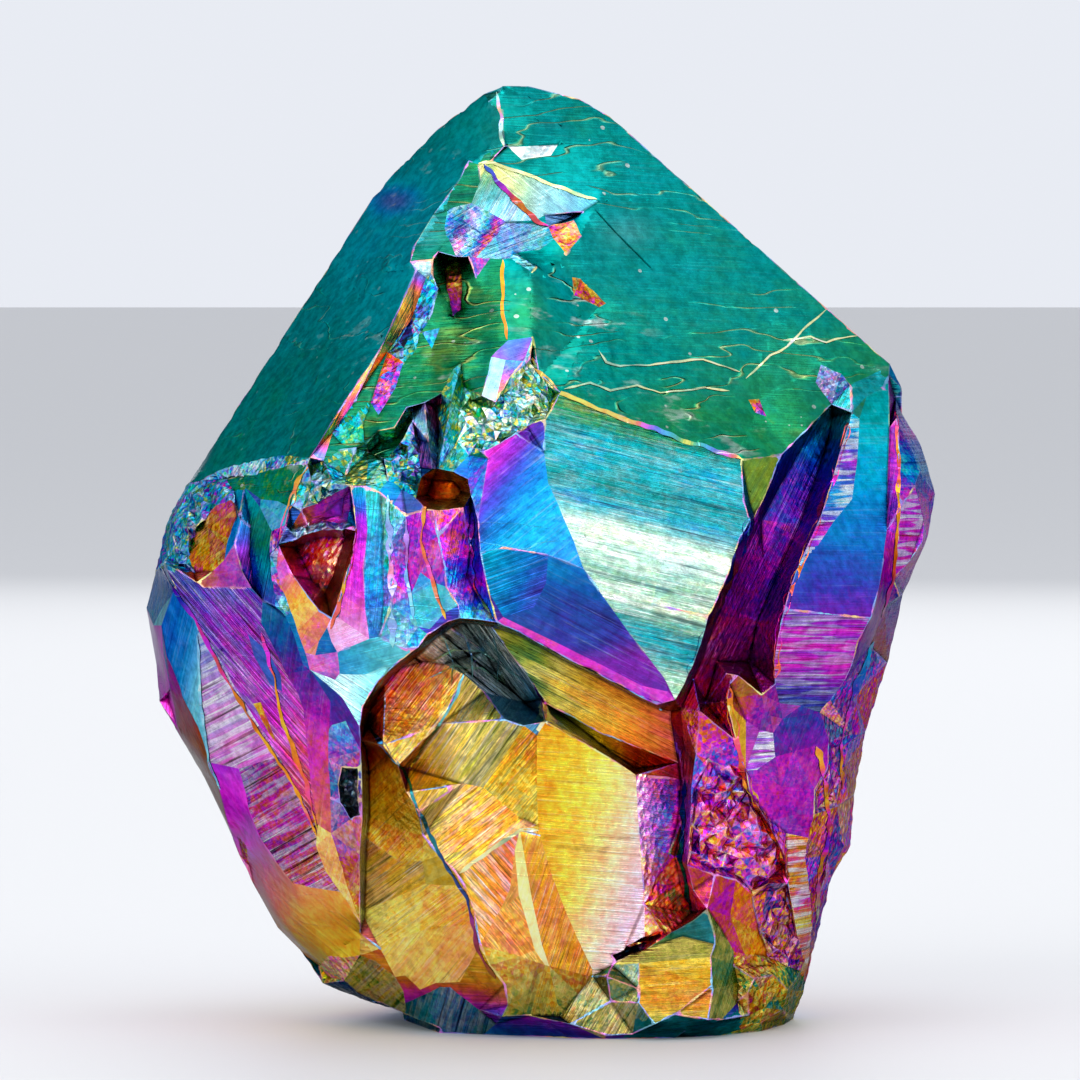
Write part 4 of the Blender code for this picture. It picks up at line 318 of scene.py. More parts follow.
    ("left gold, dark triangle", [(42.4, 17.8), (42.6, 15.4), (46.5, 15.4), (45.5, 16.9), (44, 18.4)],
     None, [1.03], [0.05], [0.6], (30, 0.4), 0.1),
    ("left gold, rough", [(36.2, 12.4), (39, 13.6), (42.6, 15.4), (46.5, 15.4), (47.5, 12.9), (47.6, 11.6),
     (42, 10.6), (38, 8.6)],
     ((38, 12), (47, 12)), [0.03, 0.05, 0.06, 0.1], [0.15], [1.05], (38, 1.15), 0.15),
    ("left gold, foot", [(38, 8.6), (42, 10.6), (47.6, 11.6), (48, 9.4), (46, 5.5), (43.6, 5.3), (42, 4.5),
     (40.5, 5.9), (36, 9.3)],
     ((37, 9), (47, 8)), [0.02, 0.04, 0.07, 0.11], [0.2, 0.25], [1.1], (52, 1.15), 0.1),
    # painted light: this wall lies in shade and is painted whitish and bright to make up for it
    ("left gold, wall", [(36.4, 29), (37, 26), (37, 22), (36.7, 19), (36.5, 14), (36.5, 11.6), (36, 9.3),
     (36.1, 11.4), (36.1, 18.4), (36.4, 26)],
     None, [0.07], [0.6], [2.2], (85, 0.4), 0.2),
    ("foot block", [(35.9, 7.7), (37.5, 7.3), (39.5, 5.7), (40.3, 4.2), (40.5, 2.9), (40.4, 1.7), (38, 2.6),
     (35.4, 3.4), (34.2, 4.6)],
     None, [1.0], [0.2], [0.55], (50, 1.5), 0.3),
    ("foot facets", [(40.5, 2.9), (44, 4.9), (45, 4.9), (48, 2.6), (49.6, 1.2), (47, 0), (41, 0),
     (40.4, 1.7)],
     ((41, 2), (49, 2)), [0.72, 0.66, 0.6, 0.7], [0.2, 0.35, 0.2], [0.3, 0.5, 0.32], (75, 1.6), 0.3),
    # painted shade: the rim at the foot is painted dark, where shade falls under the stone
    ("dark foot rim", [(23, 18), (28.8, 9.4), (30.4, 7.2), (31.6, 5.6), (34.2, 4.6), (35.4, 3.4), (38, 2.6),
     (40.4, 1.7), (42, 0), (38, -0.5), (31, 3), (27, 8.8), (22, 17)],
     None, [0.64], [0.1], [0.2], (20, 0.3), 0.6),
    # lower left
    ("purple face", [(16.4, 47), (18, 46.4), (19.8, 45.3), (20.5, 44.8), (25, 44.9), (26.5, 43.7),
     (26.3, 41.4), (27.6, 38.9), (28.8, 36.4), (30, 34.4), (30.5, 32.9), (30.8, 29.5), (31.2, 25.5),
     (31.8, 21.2), (29.5, 24.9), (28, 27.9), (26.3, 30.5), (23.2, 35.4), (19.7, 41), (17.5, 44.8)],
     ((19, 46), (29, 26)), [0.46, 0.4, 0.37, 0.35, 0.31, 0.26], [0.08, 0.14, 0.1], [0.65, 0.7, 0.75, 0.8],
     (-48, 1.3), 0.1),
    ("column by the arch", [(26.5, 43.7), (28.8, 42.2), (29.7, 40.4), (30.6, 37.4), (31.2, 36.9),
     (33.3, 33.8), (33.1, 31), (33, 28), (33.2, 24), (33.2, 20.4), (31.8, 21.2), (31.2, 25.5), (30.8, 29.5),
     (30.5, 32.9), (30, 34.4), (28.8, 36.4), (27.6, 38.9), (26.3, 41.4)],
     ((28, 42), (32.4, 22)), [0.58, 0.46, 0.4, 0.33, 0.28, 0.27, 0.2], [0.1, 0.1, 0.25],
     [0.5, 0.6, 0.9, 0.9], (82, 0.6), 0.15),
    ("wedge in the purple face", [(25, 40.2), (27, 38.6), (28.3, 36.2), (28.4, 34.6), (27.2, 35.2),
     (25.6, 38)],
     None, [0.5], [0.15], [0.8], (-40, 0.4), 0),
    ("chips in the purple face", [(25.4, 33.2), (26.2, 33.4), (27.8, 29.4), (27, 30.2)],
     None, [0.14], [0.2], [0.8], (0, 0), 0.5),
    ("facet beside the druse", [(31.2, 36.9), (34.5, 34.2), (36.2, 31.4), (36.3, 29), (34.8, 31.9),
     (33.4, 31.4), (33.3, 33.8)],
     ((32, 36), (36, 31)), [0.52, 0.45, 0.4], [0.1], [0.55], (-50, 0.5), 0.1),
    ("lilac strip", [(33.4, 31.4), (34.8, 31.9), (36.3, 29), (36.4, 26), (36.4, 22), (36.1, 18.4),
     (36.1, 11.4), (34.8, 15), (34, 18), (33.2, 20.4), (33.2, 24), (33, 28)],
     ((34.4, 31.6), (35, 13)), [0.64, 0.36, 0.5, 0.33, 0.3, 0.16, 0.1], [0.4, 0.3, 0.4, 0.2],
     [1, 0.8, 0.7, 0.6], (80, 0.4), 0.5),
    ("druse in the strip", [(34.4, 27.2), (36, 27.2), (36.1, 22.4), (35.2, 22), (34.2, 23.6), (34, 25.4)],
     None, [0.6], [0.8], [0.35], (0, 0), 1.2),
    ("gold strip, lower", [(31.8, 21.2), (33.2, 20.4), (34, 18), (34.8, 15), (36.1, 11.4), (35.4, 12.4),
     (34, 14.4), (32.6, 16.4), (31.6, 19)],
     None, [0.08], [0.35], [1.2], (75, 0.6), 0.2),
    ("blue blade", [(17.5, 44.8), (19.7, 41), (19.8, 37.4), (20, 33.4), (20.4, 29.8), (20.6, 26.8),
     (19.4, 30.8), (18, 33.4), (16.4, 37.4), (15.9, 40.6), (17, 43.6)],
     ((16.2, 37), (19.9, 36)), [0.54, 0.56, 0.6, 0.68], [0.1, 0.15, 0.4], [0.9, 0.9, 1.1], (75, 0.5), 0),
    ("lavender facet", [(19.7, 41), (21.5, 38.4), (23.2, 35.4), (24.8, 32.9), (26.3, 30.5), (28, 27.9),
     (26.4, 27.4), (23.8, 26.4), (21.9, 26.6), (20.6, 26.8), (20.4, 29.8), (20, 33.4), (19.8, 37.4)],
     ((20, 40), (24.4, 27.5)), [0.58, 0.44, 0.37, 0.36, 0.33, 0.31], [0.35, 0.5, 0.55, 0.35],
     [1.1, 1.2, 1.1], (30, 1.5), 0.05),
    ("dull striated facet", [(23.8, 26.4), (26.4, 27.4), (28, 27.9), (29.5, 24.9), (31.8, 21.2), (31.6, 19),
     (32.6, 16.4), (34, 14.4), (31, 14.6), (29.2, 14.9), (27.6, 16.9), (25.9, 19.4), (24.7, 22.4)],
     ((26, 27), (31, 15)), [0.31, 0.29, 0.27, 0.24], [0.12, 0.15, 0.3], [0.7, 0.8, 1.0], (33, 1.8), 0.35),
    ("vivid facet", [(20.6, 26.8), (21.9, 26.6), (23.8, 26.4), (24.7, 22.4), (25.9, 19.4), (27.6, 16.9),
     (29.2, 14.9), (23.4, 16.8), (22.4, 20.2), (21.7, 23.8)],
     ((21.5, 26.5), (26, 17)), [0.36, 0.33, 0.315, 0.3, 0.27], [0.1, 0.15, 0.4], [1.2, 1.3], (-60, 0.2), 0),
    ("orange facet", [(22.4, 19.6), (23.4, 16.8), (25.5, 18), (27.6, 16.9), (29.2, 14.9), (31, 14.6),
     (34, 14.4), (35.4, 12.4), (36.1, 11.4), (36.1, 10), (35.9, 7.7), (34.4, 7.3), (32.6, 7.2), (31.8, 5.9),
     (29.9, 6.2), (27.3, 8.6), (24.8, 13), (22.4, 18)],
     ((23, 17), (35.5, 8.5)), [0.3, 0.25, 0.18, 0.13, 0.11, 0.09], [0.35, 0.35, 0.2, 0.1], [1.4],
     (-38, 0.3), 0.03),
    ("gold chips", [(31.8, 5.9), (32.6, 7.2), (34.4, 7.3), (35.9, 7.7), (34.2, 4.6), (31.6, 3.6)],
     None, [0.07], [0.35], [1], (0, 0.2), 0.8),
    ("rim of the blue blade", [(13, 41.9), (14, 45.7), (16.4, 47), (17.5, 44.8), (17, 43.6), (15.9, 40.6),
     (14.9, 40.4)],
     ((15, 46), (15, 41)), [0.52, 0.58, 0.64], [0.1], [0.7], (80, 0.3), 0.2),
    ("cyan strip", [(17, 43.6), (16, 42.4), (15.2, 41), (14.9, 40.4), (15.9, 40.6)],
     None, [0.7], [0.4], [1.2], (60, 0.3), 0),
    ("magenta strip", [(15.9, 40.6), (16, 37.4), (16.6, 34), (17.1, 29.9), (17.6, 29.2), (15, 32),
     (13.6, 36.2), (13, 41.9), (14.9, 40.4)],
     ((14, 36), (16.4, 36)), [0.34, 0.32, 0.3], [0.1], [0.9, 1.25], (85, 0.3), 0),
    ("shaded left facet", [(15.9, 40.6), (16.4, 37.4), (18, 33.4), (19.4, 30.8), (20.6, 26.8), (21.7, 23.8),
     (22.4, 20.2), (21, 21), (18.4, 26), (17.6, 29.2), (17.1, 29.9), (16.6, 34)],
     ((17, 35), (21, 23)), [0.3, 0.22, 0.15, 0.13], [0.05], [0.6, 0.5], (-62, 0.4), 0.1),
    ("small gold pit", [(23.4, 18.8), (24.3, 18.2), (24.4, 15.8), (23.8, 16.4)],
     None, [0.12], [0.1], [0.6], (0, 0), 0.7),
    # left shoulder
    ("shoulder", [(21.6, 55.3), (31.4, 57.1), (30, 55.4), (29.2, 53), (28, 53.5), (26.2, 53.6),
     (24.6, 54.6), (23.4, 54.2)],
     None, [0.84], [0.05], [0.65], (8, 0.5), 0.2),
    ("left ledge", [(18.6, 54.8), (19.8, 55.1), (21.4, 56), (23.6, 56.8), (26.5, 57.6), (28.4, 58),
     (31.3, 57.9), (31.4, 57.1), (29, 57), (26.6, 56.4), (24.2, 55.8), (21.6, 55.3)],
     None, [0.7], [0.45], [1.35], (12, 0.4), 1),
    ("granular shoulder", [(15.6, 50.2), (17, 53), (18.6, 54.9), (22.6, 55.4), (23.4, 54.2), (23.4, 53.4),
     (21.6, 52.8), (20.4, 51.4), (19.2, 49.8), (18.8, 47.8), (19.4, 46.2), (17.6, 46.4), (14, 46)],
     None, [0.66], [0.2], [0.85], (0, 0), 1),
    ("gold nest", [(18.8, 47.8), (19.2, 49.8), (20.4, 51.4), (21.6, 52.8), (23.4, 53.4), (23.8, 51.8),
     (23, 49.6), (22.6, 47.6), (21.4, 46.4), (19.4, 46.2)],
     ((19.5, 47), (23, 52)), [0.14, 0.08, 0.12, 0.2], [0.1, 0.3], [0.8, 0.6, 0.8], (40, 0.5), 0.4),
    ("edge under the nest", [(19.4, 46.2), (21.4, 46.4), (22.6, 47.6), (23.6, 49.2), (24.4, 46.6),
     (25.4, 44.9), (20.5, 44.8), (18, 46.4)],
     ((20, 46), (24.4, 46)), [0.2, 0.3, 0.36], [0.25], [0.8], (10, 0.4), 0.2),
    ("shoulder facet, left", [(23.4, 54.2), (24.6, 54.6), (25.2, 51), (25.1, 48), (25.6, 44.9),
     (24.4, 46.6), (23.6, 49.2), (24.2, 51.8)],
     ((24.4, 54), (24.8, 46)), [0.66, 0.58, 0.4, 0.34], [0.1], [0.8], (80, 0.5), 0),
    ("shoulder facet, right", [(24.6, 54.6), (26.2, 52.8), (27.4, 50.6), (27.2, 48.4), (27.5, 46),
     (27.8, 43.2), (26.5, 43.7), (25, 44.9), (25.6, 44.9), (25.1, 48), (25.2, 51)],
     ((25.6, 54), (26.6, 44)), [0.72, 0.8, 0.82, 0.66, 0.5], [0.06], [0.7, 0.6], (78, 0.5), 0.1),
    ("shoulder wedge", [(26.2, 53.6), (28, 53.5), (29.2, 53), (28.8, 51.2), (27.4, 50.6), (26.2, 52.8)],
     None, [0.66], [0.25], [0.9], (30, 0.3), 0.2),
    ("bank left of the pits", [(27.4, 50.6), (28.8, 51.2), (28.2, 49.4), (27.9, 47), (28.6, 44.6),
     (29.4, 42.6), (28.8, 42.2), (27.8, 43.2), (27.5, 46), (27.2, 48.4)],
     ((28, 50), (28.6, 43)), [0.3, 0.62, 0.33, 0.66], [0.25], [1], (0, 0.5), 0.8),
    ("bank above the pits", [(30, 55.4), (31, 57.2), (32.6, 57.6), (34.3, 58.6), (34.8, 56.2), (35.3, 55.2),
     (33.5, 54.2), (32, 53.4), (30.4, 52.6), (29.4, 53.2)],
     None, [0.72], [0.25], [0.9], (20, 0.4), 0.8),
    ("edge of pit 1", [(29.4, 51), (30.4, 52.6), (32, 53.4), (33.5, 54.2), (35.3, 55.2), (35.3, 53),
     (35, 51.6), (32.5, 51.7), (31, 51.3)],
     ((30, 51.4), (35, 54)), [0.2, 0.3, 0.4], [0.1], [0.45], (20, 0.4), 0.2),
    ("pit 1", [(31.2, 51.9), (32.6, 52.3), (34.6, 54), (34.4, 52.2)],
     ((31.2, 52), (34.6, 53)), [0.16, 0.36, 0.45], [0.02], [0.6], (20, 0.3), 0.1),
    ("ground between the pits", [(29.4, 50.6), (29.4, 51), (31, 51.3), (32.5, 51.7), (35, 51.6),
     (35.6, 51.2), (34.5, 50.8), (32.5, 50.8), (31, 50.4), (30, 49.8)],
     None, [0.68], [0.6], [1.2], (0, 0), 0.8),
    ("edge of pit 2", [(28.2, 49.2), (30, 49.8), (31, 50.4), (32.5, 50.8), (34.5, 50.8), (35.8, 51.2),
     (35.9, 49.9), (35.1, 47.4), (34.3, 44.4), (33.4, 42.2), (32.2, 42.9), (31, 44.4), (29.7, 46.2),
     (28.8, 47.9)],
     ((29, 49), (34.4, 46)), [0.16, 0.3, 0.33, 0.14], [0.3, 0.1, 0.35], [1, 0.9, 1.2], (60, 0.4), 0.2),
    ("pit 2", [(29.8, 48.8), (32.4, 49.9), (34.6, 49.8), (33.4, 46), (32.6, 44.4), (31.4, 45.6)],
     ((30.5, 49), (33.2, 45.2)), [1.42, 1.2, 1.05, 0.98], [0.32], [1.0, 1.2, 1.5], (55, 0.3), 0.62),
    ("gold wedge", [(28.2, 49.2), (28.8, 47.9), (29.7, 46.2), (31, 44.4), (32.2, 42.9), (33.4, 42.2),
     (33, 41.2), (32.2, 39.8), (31.8, 38.4), (30.8, 38.6), (30, 40.8), (29.4, 42.6), (28.6, 44.6),
     (27.9, 47)],
     ((28.6, 46), (32.6, 42)), [0.28, 0.12, 0.05, 0.08, 0.2], [0.3, 0.2, 0.35], [1.1], (60, 0.5), 0.2),
    ("pink patch", [(31.8, 38.4), (34, 38.8), (34.2, 36.6), (33.8, 36), (31.2, 36.9), (30.8, 38.6)],
     None, [0.32], [0.4], [1.1], (20, 0.5), 0.2),
    ("column, left half", [(35.3, 55.2), (36.8, 55.2), (37, 51), (36.6, 47), (36.8, 43), (37.2, 40.2),
     (34.1, 42.2), (34.6, 44.4), (35.3, 47.4), (35.9, 51.2)],
     ((36.2, 55), (36, 41)), [0.66, 0.4, 0.34, 0.32, 0.31, 0.3], [0.1, 0.05, 0.1, 0.45], [1.0, 1.1, 1.2],
     (85, 0.4), 0.1),
    ("column, right half", [(36.8, 55.2), (38.2, 54.6), (38.5, 51.4), (38.5, 47.4), (38.6, 43.4),
     (38.2, 40.4), (37.2, 40.2), (36.8, 43), (36.6, 47), (37, 51)],
     ((37.6, 55), (37.8, 41)), [0.74, 0.68, 0.62, 0.6, 0.56, 0.6], [0.15], [0.9, 0.8], (85, 0.5), 0.2),
    ("pink facet", [(33.4, 42.2), (34.1, 42.2), (37.2, 40.2), (35.4, 39.4), (34, 38.8), (33.4, 39.8),
     (33, 41.2)],
     None, [0.3], [0.6], [1.35], (20, 0.5), 0),
    ("teal facet", [(34, 38.8), (35.4, 39.4), (37.2, 40.2), (38.2, 40.4), (40.6, 39.2), (42, 39.4),
     (39.5, 37.4), (38.6, 37.4), (36.8, 36.6), (34.2, 36.6)],
     ((34, 38), (41, 39)), [0.62, 0.68, 0.72], [0.15, 0.35], [0.85, 1.1], (15, 0.5), 0),
    ("white striped facet", [(31.2, 36.9), (33.8, 36), (34.2, 36.6), (36.8, 36.6), (38.6, 37.4),
     (39.5, 37.4), (38, 35.9), (36.5, 33.4), (36.2, 31.4), (34.5, 34.2)],
     ((32, 36.5), (37.5, 35)), [0.66, 0.7, 0.72], [0.65, 0.7, 0.4], [1.35], (-32, 0.9), 0),
    ("edge of the square pit", [(41.8, 54.1), (42.3, 56.1), (44, 56.9), (45.5, 56.6), (46.9, 55.9),
     (47.2, 54.4), (46.5, 53.2), (44.5, 53), (42.8, 53)],
     ((42, 55), (47, 55)), [0.2, 0.08, 0.04], [0.25], [0.8], (0, 0.3), 0.4),
    ("square pit", [(42.8, 54.2), (43.4, 55.6), (45.4, 55.6), (46.2, 54.6), (45.6, 53.8), (43.4, 53.8)],
     ((43, 55), (46, 54)), [0.3, 0.1, 0.04], [0.2], [0.4, 0.9], (0, 0), 0.3),
    ("rough column 1", [(38.2, 54.6), (39.6, 53.4), (39.3, 49.4), (39.5, 45.9), (39.3, 43.4), (38.2, 40.4),
     (38.6, 43.4), (38.5, 51.4)],
     ((38.8, 54), (38.8, 42)), [0.76, 0.7, 0.68, 0.5, 0.64], [0.25], [0.9], (85, 0.6), 0.5),
    ("rough column 2", [(39.6, 53.4), (40.8, 52.4), (40.8, 48.4), (41.2, 44.4), (42, 41.4), (43, 40.6),
     (42, 39.4), (40.6, 39.2), (38.2, 40.4), (39.3, 43.4), (39.5, 45.9), (39.3, 49.4)],
     ((40.2, 53), (41, 40)), [0.7, 0.5, 0.36, 0.34, 0.6, 0.68], [0.15, 0.3], [0.9, 1.0], (85, 0.5), 0.5),
    ("rough column 3", [(40.8, 52.4), (42.8, 53), (43.5, 53), (44, 50.4), (44.7, 47.4), (44.8, 45.4),
     (43.6, 45.8), (42.2, 46.8), (41.2, 44.4), (40.8, 48.4)],
     ((42, 52), (43.6, 46)), [0.33, 0.31, 0.34, 0.4], [0.15], [1.1, 0.9], (78, 0.5), 0.35),
    ("cyan lump", [(41.2, 44.4), (42.2, 46.8), (43.6, 45.8), (44.8, 45.4), (46, 43.6), (44.6, 42.8),
     (43.2, 41.2), (42, 41.4)],
     ((42, 46), (45, 43)), [0.6, 0.68, 0.66], [0.2, 0.3], [1.05], (30, 0.4), 0.2),
    ("rough column 4", [(43.5, 53), (46.5, 53.2), (47.2, 53.4), (47.2, 48.9), (46.8, 46.4), (48, 43.8),
     (49.7, 41.9), (46.2, 42.3), (46, 43.6), (44.8, 45.4), (44.7, 47.4), (44, 50.4)],
     ((45.5, 53), (47, 43)), [0.31, 0.34, 0.3, 0.56, 0.36, 0.62], [0.2, 0.1, 0.25], [1.1, 1.1, 1.1],
     (80, 0.5), 0.5),
    ("rough column 5", [(47.2, 53.4), (47.9, 52), (48.1, 48.9), (48.9, 45), (49.7, 41.9), (48, 43.8),
     (46.8, 46.4), (47.2, 48.9)],
     ((47.6, 53), (48.6, 43)), [0.5, 0.58, 0.34, 0.5], [0.1], [1.1], (85, 0.5), 0.3),
    ("ground above column 5", [(46.9, 55.9), (47, 58.2), (48.9, 57.9), (47.9, 52), (47.2, 53.4),
     (47.2, 54.4)],
     None, [0.5], [0.15], [1.1], (60, 0.4), 0.3),
    # little crystal at the foot
    ("little crystal, left flank", [(70.6, 13), (69, 11.8), (67, 10.6), (64.6, 9), (61.2, 7.4), (59.2, 6.2),
     (57.8, 4.4), (56, 2.2), (60, 0), (65.4, 1.7), (63.8, 3.8), (63.8, 7.6)],
     ((57, 4), (63, 6)), [0.97, 0.93, 0.9], [0.35], [0.55], (60, 1.2), 0.35),
    ("little crystal, cap", [(61.2, 7.4), (63.8, 7.6), (71, 8.2), (71.4, 9.4), (68.2, 10.2), (64.6, 9)],
     None, [0.99], [0.2], [0.5], (3, 0.8), 0.1),
    ("little crystal, top", [(64.6, 9), (68.2, 10.2), (71.4, 9.4), (71.4, 10.5), (70.6, 13), (69.2, 11.8),
     (67, 10.6)],
     ((66, 9.8), (70.5, 11.5)), [0.9, 0.8, 0.72], [0.2], [0.45], (10, 0.4), 0.1),
    ("little crystal, front", [(63.8, 7.6), (71, 8.2), (71.2, 5), (70.7, 2), (67.4, 2.6), (65.4, 1.7),
     (64.8, 2.4), (63.8, 3.8)],
     ((67, 8), (67, 2)), [1.06, 1.1, 1.05, 1.12, 1.08, 0.96], [0.1], [0.9, 0.75, 0.85, 0.6], (2, 1), 0.15),
    ("little crystal, side", [(71, 8.2), (71.4, 10.5), (70.6, 13), (71.8, 11.2), (72.6, 9.8), (73.4, 7),
     (73.8, 5.2), (73.8, 3.4), (72, 1.8), (70.7, 2), (71.2, 5)],
     ((71, 9), (73.6, 5)), [0.97, 0.92, 0.94], [0.3], [0.45], (70, 0.4), 0.15),
    ("gold nodule", [(73.2, 8.4), (75.5, 7.8), (77, 7.4), (79, 6.2), (80.4, 5.4), (81.4, 3), (80.4, 0),
     (74, 0), (73.8, 3.4), (73.8, 5.2)],
     ((74, 6), (80, 2)), [1.08, 1.04, 0.97, 0.9], [0.15], [0.75, 0.6, 0.4], (20, 0.4), 0.7),
    # painted shade: the slabs at the foot are painted dark
    ("slabs at the foot", [(63, 2.2), (65.4, 1.7), (67.4, 2.6), (70.7, 2), (72, 1.8), (74, 2.6), (74, -0.5),
     (62, -0.5)],
     None, [0.72], [0.1], [0.28], (5, 0.5), 0.2),
    ("black druse", [(61.2, 8.3), (63, 9.2), (64.6, 9.6), (64.2, 8.9), (61.6, 7.7)],
     None, [0.45], [0.2], [0.12], (0, 0), 1),
]

